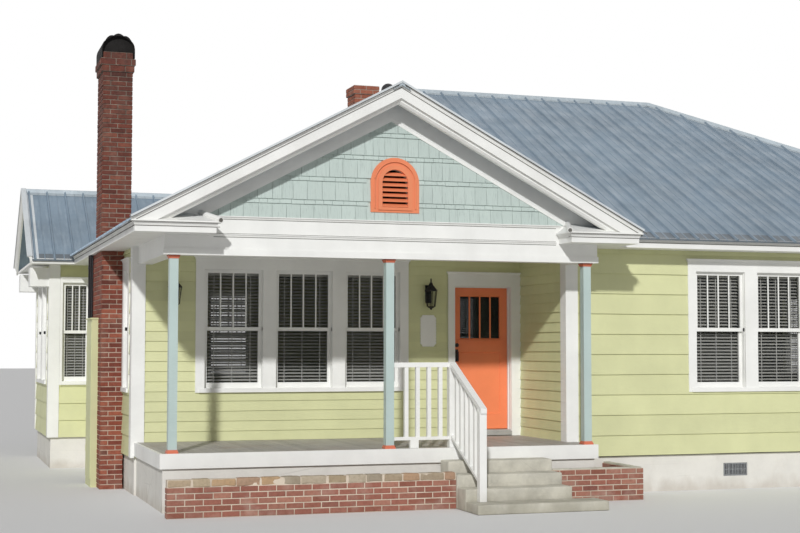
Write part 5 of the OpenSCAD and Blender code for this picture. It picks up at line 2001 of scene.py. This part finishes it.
@dataclass
class Glazing:
    """Jambs, bars and blinds of all windows, and the ledge, bars and beads of the front door."""

    light: float = 0.19
    least_lights: int = 3
    bar: float = 0.020
    bar_t: float = 0.012
    bar_sunk: float = 0.002
    slat_pitch: float = 0.045
    slat_w: float = 0.044
    slat_t: float = 0.003
    slat_tilt: float = 25.0
    tilt_play: float = 6.0
    slat_in: float = 0.135
    slat_past: float = 0.02
    slat_low: float = 0.01
    same_window: float = 0.1
    sash_t: float = 0.04
    liner: float = 0.005
    liner_out: float = 0.001
    meeting: float = 2.0
    tape: float = 0.012
    tape_out: Pair = (0.001, 0.003)
    tape_places: tuple[float, ...] = (0.16, 0.5, 0.84)
    head: float = 0.02
    head_low: float = 0.03
    door_lights: int = 4
    door_bar_out: Pair = (0.001, 0.006)
    ledge: float = 0.022
    ledge_h: float = 0.018
    ledge_in: float = 0.002
    ledge_out: float = 0.016
    panel_in: float = 0.011
    bead_out: float = 0.003
    bead_w: tuple[float, float, float] = (0.006, 0.013, 0.018)

    @staticmethod
    def facing(pane: Solid) -> Wall:
        """Finds the wall that a pane lies in, from its thin side and its place in the house.

        Args:
            pane: The pane, or another flat solid in a wall.

        Returns:
            The wall.
        """
        shell = Shell.read()
        walls = [shell.porch, shell.front, shell.right, shell.rear, shell.left, shell.wing_front,
                 shell.wing_left]
        thin_x = pane.size.x < pane.size.y

        def distance(wall: Wall) -> float:
            """Gives the pane's depth behind the wall's face, endless if the wall can't hold it."""
            depth = wall.face - wall.out.dot(pane.mid)
            return depth if depth > 0 and (wall.side.value[0] != 0) == thin_x else math.inf

        return min(walls, key=distance)

    def bars(self) -> None:
        """Adds upright bars to the upper sashes."""
        draft = Draft()
        for pane in solids("window_glass"):
            wall = self.facing(pane)
            u, z, out = wall.spans(pane)
            if z[0] < self.meeting:
                continue
            lights = max(self.least_lights, round((u[1] - u[0]) / self.light))
            rings = [(self.bar / 2, -self.bar_sunk), (self.bar / 2, self.bar_t * 0.5),
                     (self.bar * 0.25, self.bar_t)]
            for k in range(1, lights):
                mid = u[0] + (u[1] - u[0]) * k / lights
                draft.loft([wall.ring((mid - w, mid + w), z, out[1] + o) for w, o in rings])
        draft.piece("window_bars", Finish.WHITE, "white_trim")

    def jambs(self) -> None:
        """Lines the openings between the wall's face and the sashes."""
        draft = Draft()
        for sash in (s for name in ("front_windows", "other_windows") for s in solids(name)):
            if min(sash.size.x, sash.size.y) > self.sash_t:
                continue
            wall = self.facing(sash)
            u, z, (_, front) = wall.spans(sash)
            deep = (front, self.liner_out)
            draft.slab(wall, (u[0], u[0] + self.liner), z, deep)
            draft.slab(wall, (u[1] - self.liner, u[1]), z, deep)
            level = z[1] - self.liner if z[0] > self.meeting else z[0]
            draft.slab(wall, u, (level, level + self.liner), deep)
        draft.piece("window_jambs", Finish.WHITE, "white_trim")

    def blinds(self) -> None:
        """Hangs a slatted blind behind every window."""
        slats, tapes = Draft(), Draft()
        rng = random.Random("blinds")
        panes = solids("window_glass")
        for low_pane in (p for p in panes if p.low.z < self.meeting):
            wall = self.facing(low_pane)
            u, z, _ = wall.spans(low_pane)
            top = max(p.high.z for p in panes if p.low.z > self.meeting
                      and (p.mid.xy - low_pane.mid.xy).length < self.same_window)
            back = -self.slat_in
            u0, u1 = u[0] - self.slat_past, u[1] + self.slat_past
            tilt = math.radians(self.slat_tilt + rng.uniform(-self.tilt_play, self.tilt_play))
            a, b = math.cos(tilt) * self.slat_w / 2, math.sin(tilt) * self.slat_w / 2
            c, d = -math.sin(tilt) * self.slat_t / 2, math.cos(tilt) * self.slat_t / 2
            ring = [(-a - c, -b - d), (a - c, b - d), (a + c, b + d), (-a + c, -b + d)]
            level = z[0] - self.slat_low
            while level < top:
                slats.loft([[wall.at(end, level - q, back + p) for p, q in ring] for end in (u0, u1)],
                           rng.random())
                level += self.slat_pitch
            for share in self.tape_places:
                mid = u0 + (u1 - u0) * share
                tapes.slab(wall, (mid - self.tape / 2, mid + self.tape / 2), (z[0] - self.slat_past, top),
                           (back + a + self.tape_out[0], back + a + self.tape_out[1]))
            slats.slab(wall, (u0, u1), (top - self.head_low, top + self.head),
                       (back - self.head, back + self.head), 1.0)
        slats.piece("blind_slats", Finish.SLAT, "white_trim")
        tapes.piece("blind_tapes", Finish.SLAT, "white_trim")

    def door(self) -> None:
        """Adds the door's ledge, bars, beads and panel mould."""
        draft = Draft()
        pane = node_box("door_glass")
        points = [p for s in solids("front_door") for p in s.points]
        face = min(p.y for p in points if p.z > pane.high.z)
        wall = Wall(Side.FRONT, -face)
        u, z, out = wall.spans(pane)
        top = z[0] - self.ledge
        draft.slab(wall, (u[0] - self.ledge, u[1] + self.ledge), (top - self.ledge_h, top),
                   (-self.ledge_in, self.ledge_out))
        for k in range(1, self.door_lights):
            mid = u[0] + (u[1] - u[0]) * k / self.door_lights
            draft.slab(wall, (mid - self.bar / 2, mid + self.bar / 2), z,
                       (out[1] - self.door_bar_out[0], -self.door_bar_out[1]))
        sunk = [p.z for p in points if abs(p.y - face - self.panel_in) < NEAR and p.z < pane.low.z]
        narrow, middle, broad = self.bead_w
        for levels, depth in ((z, out[1]), ((min(sunk), max(sunk)), -self.panel_in)):
            rise = -depth + self.bead_out
            section = [(0.0, 0.0), (rise, 0.0), (rise, narrow), (rise * 0.55, middle), (0.0, broad)]
            draft.run(section, wall.ring(u, levels, depth), wall.out, closed=True)
        draft.piece("door_beads", Finish.DOOR, "door_paint", body="door")

    def build(self) -> None:
        """Finishes all windows and the door."""
        self.jambs()
        self.bars()
        self.blinds()
        self.door()


@dataclass
class Fittings:
    """Lanterns, downpipe, side box and grilles."""

    shell: Shell
    plate_half: float = 0.045
    plate_span: Pair = (0.22, 0.80)
    plate_out: Pair = (0.004, 0.016)
    arm_r: float = 0.008
    arm_from: float = 0.62
    arm_rise: float = 0.2
    arm_out: float = 0.012
    arm_steps: int = 8
    drop: Profile = ((0.012, 0.0), (0.016, 0.012), (0.022, 0.022))
    pan: Profile = ((0.48, 0.030), (0.62, 0.048))
    hood: Profile = ((0.98, 0.60), (1.0, 0.615), (0.96, 0.64), (0.55, 0.74), (0.30, 0.80), (0.24, 0.86),
                     (0.12, 0.88), (0.10, 0.95))
    tip_r: float = 0.010
    pane: Profile = ((0.58, 0.046), (0.84, 0.605))
    post: Profile = ((0.62, 0.044), (0.90, 0.61))
    sides: int = 6
    post_r: float = 0.0055
    flutes: int = 6
    flute: float = 0.006
    strap: float = 0.022
    strap_out: float = 0.003
    strap_levels: tuple[float, ...] = (0.35, 1.3, 2.3, 3.1)
    louvre: float = 0.012
    louvre_pitch: float = 0.024
    louvre_edge: float = 0.022
    louvre_out: Pair = (-0.004, 0.003)
    box_door_in: tuple[float, float, float] = (0.02, 0.12, 0.05)
    box_door_t: float = 0.006
    lid_past: float = 0.012
    lid_up: Pair = (-0.004, 0.014)
    lid_out: float = 0.02
    hinge_u: Pair = (0.012, 0.05)
    hinge_h: float = 0.08
    hinge_out: Pair = (0.005, 0.010)
    hinge_places: Pair = (0.2, 0.8)

    def lanterns(self) -> None:
        """Makes the wall lanterns."""
        draft, glow = Draft(), Draft()
        wall = self.shell.porch
        turns = [t * math.pi / self.arm_steps for t in range(self.arm_steps + 1)]
        for box in solids("wall_lanterns"):
            u, (z0, z1), (_, reach) = wall.spans(box)
            mid, h, r = (u[0] + u[1]) / 2, z1 - z0, (u[1] - u[0]) / 2
            centre = wall.at(mid, 0.0, reach - r)
            draft.slab(wall, (mid - self.plate_half, mid + self.plate_half),
                       (z0 + h * self.plate_span[0], z0 + h * self.plate_span[1]), self.plate_out)
            sway = (reach - r - self.arm_out) * 0.5
            draft.tube([wall.at(mid, z0 + h * (self.arm_from + self.arm_rise * math.sin(t)),
                                self.arm_out + sway * (1 - math.cos(t))) for t in turns],
                       lambda t: self.arm_r, 8)
            foot = [(a, z0 + b) for a, b in self.drop] + [(r * a, z0 + b) for a, b in self.pan]
            hood = [(r * a, z0 + h * b) for a, b in self.hood] + [(self.tip_r, z0 + h)]
            for outline in (foot, hood):
                draft.turned(centre, outline, self.sides)
            (low_r, low_z), (high_r, high_z) = self.pane
            glow.turned(centre, [(r * low_r, z0 + low_z), (r * high_r, z0 + h * high_z)], self.sides)
            (low_r, low_z), (high_r, high_z) = self.post
            for k in range(self.sides):
                a = 2 * math.pi * k / self.sides
                way = Vector((math.cos(a), math.sin(a), 0))
                draft.tube([centre + way * r * low_r + UP * (z0 + low_z),
                            centre + way * r * high_r + UP * (z0 + h * high_z)], lambda t: self.post_r, 6)
        draft.piece("lantern_frames", Finish.BLACK, "black_metal", replaces=("wall_lanterns",))
        glow.piece("lantern_panes", Finish.GLASS, "glass")

    def pipe(self) -> None:
        """Makes the fluted downpipe with its straps."""
        draft = Draft()
        box = node_box("downpipe")
        ring = []
        for side in range(4):
            for k in range(self.flutes):
                t = -1 + 2 * k / self.flutes
                x, y = ((t, -1.0), (1.0, t), (-t, 1.0), (-1.0, -t))[side]
                dips = (0.0, self.flute)[k % 2] * (side % 2), (0.0, self.flute)[k % 2] * (1 - side % 2)
                ring.append((x * (box.size.x / 2 - dips[0]), y * (box.size.y / 2 - dips[1])))
        mid = box.mid
        draft.loft([[Vector((mid.x + a, mid.y + b, z)) for a, b in ring] for z in (box.low.z, box.high.z)])
        grow = self.strap_out
        for z in self.strap_levels:
            draft.block((box.low.x - grow, box.low.y - grow, z),
                        (box.high.x + grow, box.high.y + grow, z + self.strap))
        draft.piece("downpipe_fluted", Finish.BLACK, "black_metal", replaces=("downpipe",))

    def grilles(self) -> None:
        """Fits upright louvre bars into the foundation's grilles."""
        draft = Draft()
        for box in solids("foundation_vents"):
            wall = Glazing.facing(box)
            u, z, (_, front) = wall.spans(box)
            at = u[0] + self.louvre_edge
            while at < u[1] - self.louvre_edge:
                draft.slab(wall, (at, at + self.louvre), (z[0] + self.louvre_edge, z[1] - self.louvre_edge),
                           (front + self.louvre_out[0], front + self.louvre_out[1]))
                at += self.louvre_pitch
        draft.piece("grille_louvres", Finish.GRILLE, "grille")

    def side_box(self) -> None:
        """Adds the lid, door and hinges of the box beside the chimney."""
        draft = Draft()
        box = node_box("side_box")
        wall = Wall(Side.LEFT, -box.low.x)
        u, z, _ = wall.spans(box)
        side, low, top = self.box_door_in
        draft.slab(wall, (u[0] + side, u[1] - side), (z[0] + low, z[1] - top), (0.0, self.box_door_t))
        draft.slab(wall, (u[0] - self.lid_past, u[1] + self.lid_past),
                   (z[1] + self.lid_up[0], z[1] + self.lid_up[1]), (-box.size.x, self.lid_out))
        for share in self.hinge_places:
            level = z[0] + (z[1] - z[0]) * share
            draft.slab(wall, (u[0] + self.hinge_u[0], u[0] + self.hinge_u[1]), (level, level + self.hinge_h),
                       self.hinge_out)
        draft.piece("side_box_door", Finish.SIDING, "siding")

    def build(self) -> None:
        """Makes all fittings."""
        self.lanterns()
        self.pipe()
        self.grilles()
        self.side_box()


@dataclass(frozen=True)
class Sun:
    """A distant lamp: its strength, its width and its turn about X, Y and Z, in degrees."""

    name: str
    strength: float
    width: float
    turn: tuple[float, float, float]


@dataclass
class Studio:
    """The camera at the picture's viewing angle, soft light and a plain pale floor."""

    eye: tuple[float, float, float] = (-9.418, -21.8805, 1.951)
    yaw: float = 18.226
    pitch: float = 3.221
    roll: float = -0.042
    focus_px: float = 1449.0
    width_px: float = 800.0
    sensor: float = 36.0
    view_end: float = 400.0
    floor_reach: float = 120.0
    ambient: float = 0.19
    suns: tuple[Sun, ...] = (Sun("key", 2.46, 2.5, (61.7, 0.0, -23.3)),
                             Sun("fill", 0.14, 60.0, (62.0, 0.0, 48.0)))

    def camera(self) -> None:
        """Sets the camera."""
        data = bpy.data.cameras.new("camera")
        data.sensor_width = self.sensor
        data.lens = self.focus_px / self.width_px * self.sensor
        data.clip_end = self.view_end
        made = bpy.data.objects.new("camera", data)
        made.location = self.eye
        made.rotation_mode = "XYZ"
        made.rotation_euler = tuple(math.radians(a) for a in (90.0 + self.pitch, self.roll, -self.yaw))
        bpy.context.scene.collection.objects.link(made)
        bpy.context.scene.camera = made

    def light(self) -> None:
        """Adds the key light, the fill light and the pale surroundings."""
        for sun in self.suns:
            data = bpy.data.lights.new(sun.name, "SUN")
            data.energy = sun.strength
            data.angle = math.radians(sun.width)
            made = bpy.data.objects.new(sun.name, data)
            made.rotation_euler = tuple(math.radians(a) for a in sun.turn)
            bpy.context.scene.collection.objects.link(made)
        world = bpy.data.worlds.new("surroundings")
        world.use_nodes = True
        tree = world.node_tree
        tree.nodes.clear()
        out, back, path, seen, more, level = (tree.nodes.new("ShaderNode" + kind) for kind in (
            "OutputWorld", "Background", "LightPath", "Math", "Math", "MapRange"))
        seen.operation = more.operation = "MAXIMUM"
        level.inputs["To Min"].default_value = self.ambient
        level.inputs["To Max"].default_value = 1.0
        for source, target in (
                (path.outputs["Is Camera Ray"], seen.inputs[0]),
                (path.outputs["Is Glossy Ray"], seen.inputs[1]),
                (seen.outputs[0], more.inputs[0]), (path.outputs["Is Transmission Ray"], more.inputs[1]),
                (more.outputs[0], level.inputs["Value"]), (level.outputs[0], back.inputs["Strength"]),
                (back.outputs[0], out.inputs["Surface"])):
            tree.links.new(source, target)
        back.inputs["Color"].default_value = (1.0, 1.0, 1.0, 1.0)
        bpy.context.scene.world = world

    def floor(self) -> None:
        """Adds the floor."""
        mesh = bpy.data.meshes.new("studio_floor")
        far = self.floor_reach
        mesh.from_pydata([(-far, -far, 0), (far, -far, 0), (far, far, 0), (-far, far, 0)], [], [(0, 1, 2, 3)])
        mesh.materials.append(Finish.STAGE.material)
        made = bpy.data.objects.new("studio_floor", mesh)
        bpy.context.scene.collection.objects.link(made)
        made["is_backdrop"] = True

    def build(self) -> None:
        """Sets up the whole studio."""
        self.camera()
        self.light()
        self.floor()
        bpy.context.scene.view_settings.view_transform = "Standard"


NODE_FINISHES: dict[Finish, tuple[str, ...]] = {
    Finish.SIDING: ("porch_back_wall", "wall_over_door", "wall_beside_door", "wall_under_door",
                    "porch_side_wall", "front_wall", "right_wall", "rear_wall", "left_wall", "wing_walls",
                    "side_box"),
    Finish.FOUNDATION: ("foundation", "porch_base"),
    Finish.GRILLE: ("foundation_vents",),
    Finish.INDOOR: ("floor",),
    Finish.DECK: ("porch_floor",),
    Finish.WHITE: ("porch_rim", "door_frame", "front_windows", "other_windows", "corner_boards", "porch_beam",
                   "ceiling_soffit", "fascia_boards", "rake_boards", "eave_returns", "porch_railing",
                   "stair_railing", "wall_plaque"),
    Finish.CONCRETE: ("step_upper", "step_middle", "step_lower", "step_slab"),
    Finish.MORTAR: ("side_chimney",),
    Finish.ROOF_MORTAR: ("small_chimney",),
    Finish.PALE_MORTAR: ("planter_wall", "flower_bed_wall"),
    Finish.DOOR: ("front_door",),
    Finish.CAPITAL: ("post_trim",),
    Finish.VENT: ("gable_vent",),
    Finish.GLASS: ("window_glass",),
    Finish.DOOR_GLASS: ("door_glass",),
    Finish.BLACK: ("door_lock", "roof_vent", "wall_lanterns", "downpipe"),
    Finish.CAP: ("chimney_cap",),
    Finish.SILL: ("door_threshold",),
    Finish.POST: ("porch_posts",),
    Finish.ROOF: ("main_roof", "porch_gable_roof", "wing_roof"),
    Finish.RIDGE: ("ridge_caps",),
    Finish.SHINGLE: ("front_gable_wall",),
}


def dress_nodes() -> None:
    """Gives every solid of the frame its finish."""
    for finish, names in NODE_FINISHES.items():
        for name in names:
            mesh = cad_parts[name].data
            mesh.materials.clear()
            mesh.materials.append(finish.material)


def write_sizes() -> None:
    """Works out the frame's box and the dressed house's box."""
    boxes = [[list(corner) for corner in box] for box in (CAD_BOX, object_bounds())]


def main() -> None:
    """Builds the house's looks in order."""
    logging.basicConfig(level=logging.INFO, format="%(name)s: %(message)s")
    dress_nodes()
    shell = Shell.read()
    plan = RoofPlan.read()
    for part in (Studio(), LapSiding(shell), MetalRoof(plan), GableFace(plan), ShadowLines(plan, shell),
                 Brickwork(), PorchWork(shell), Glazing(), Fittings(shell)):
        part.build()
        log.info("%s done", type(part).__name__)
    write_sizes()


if __name__ == "__main__":
    main()
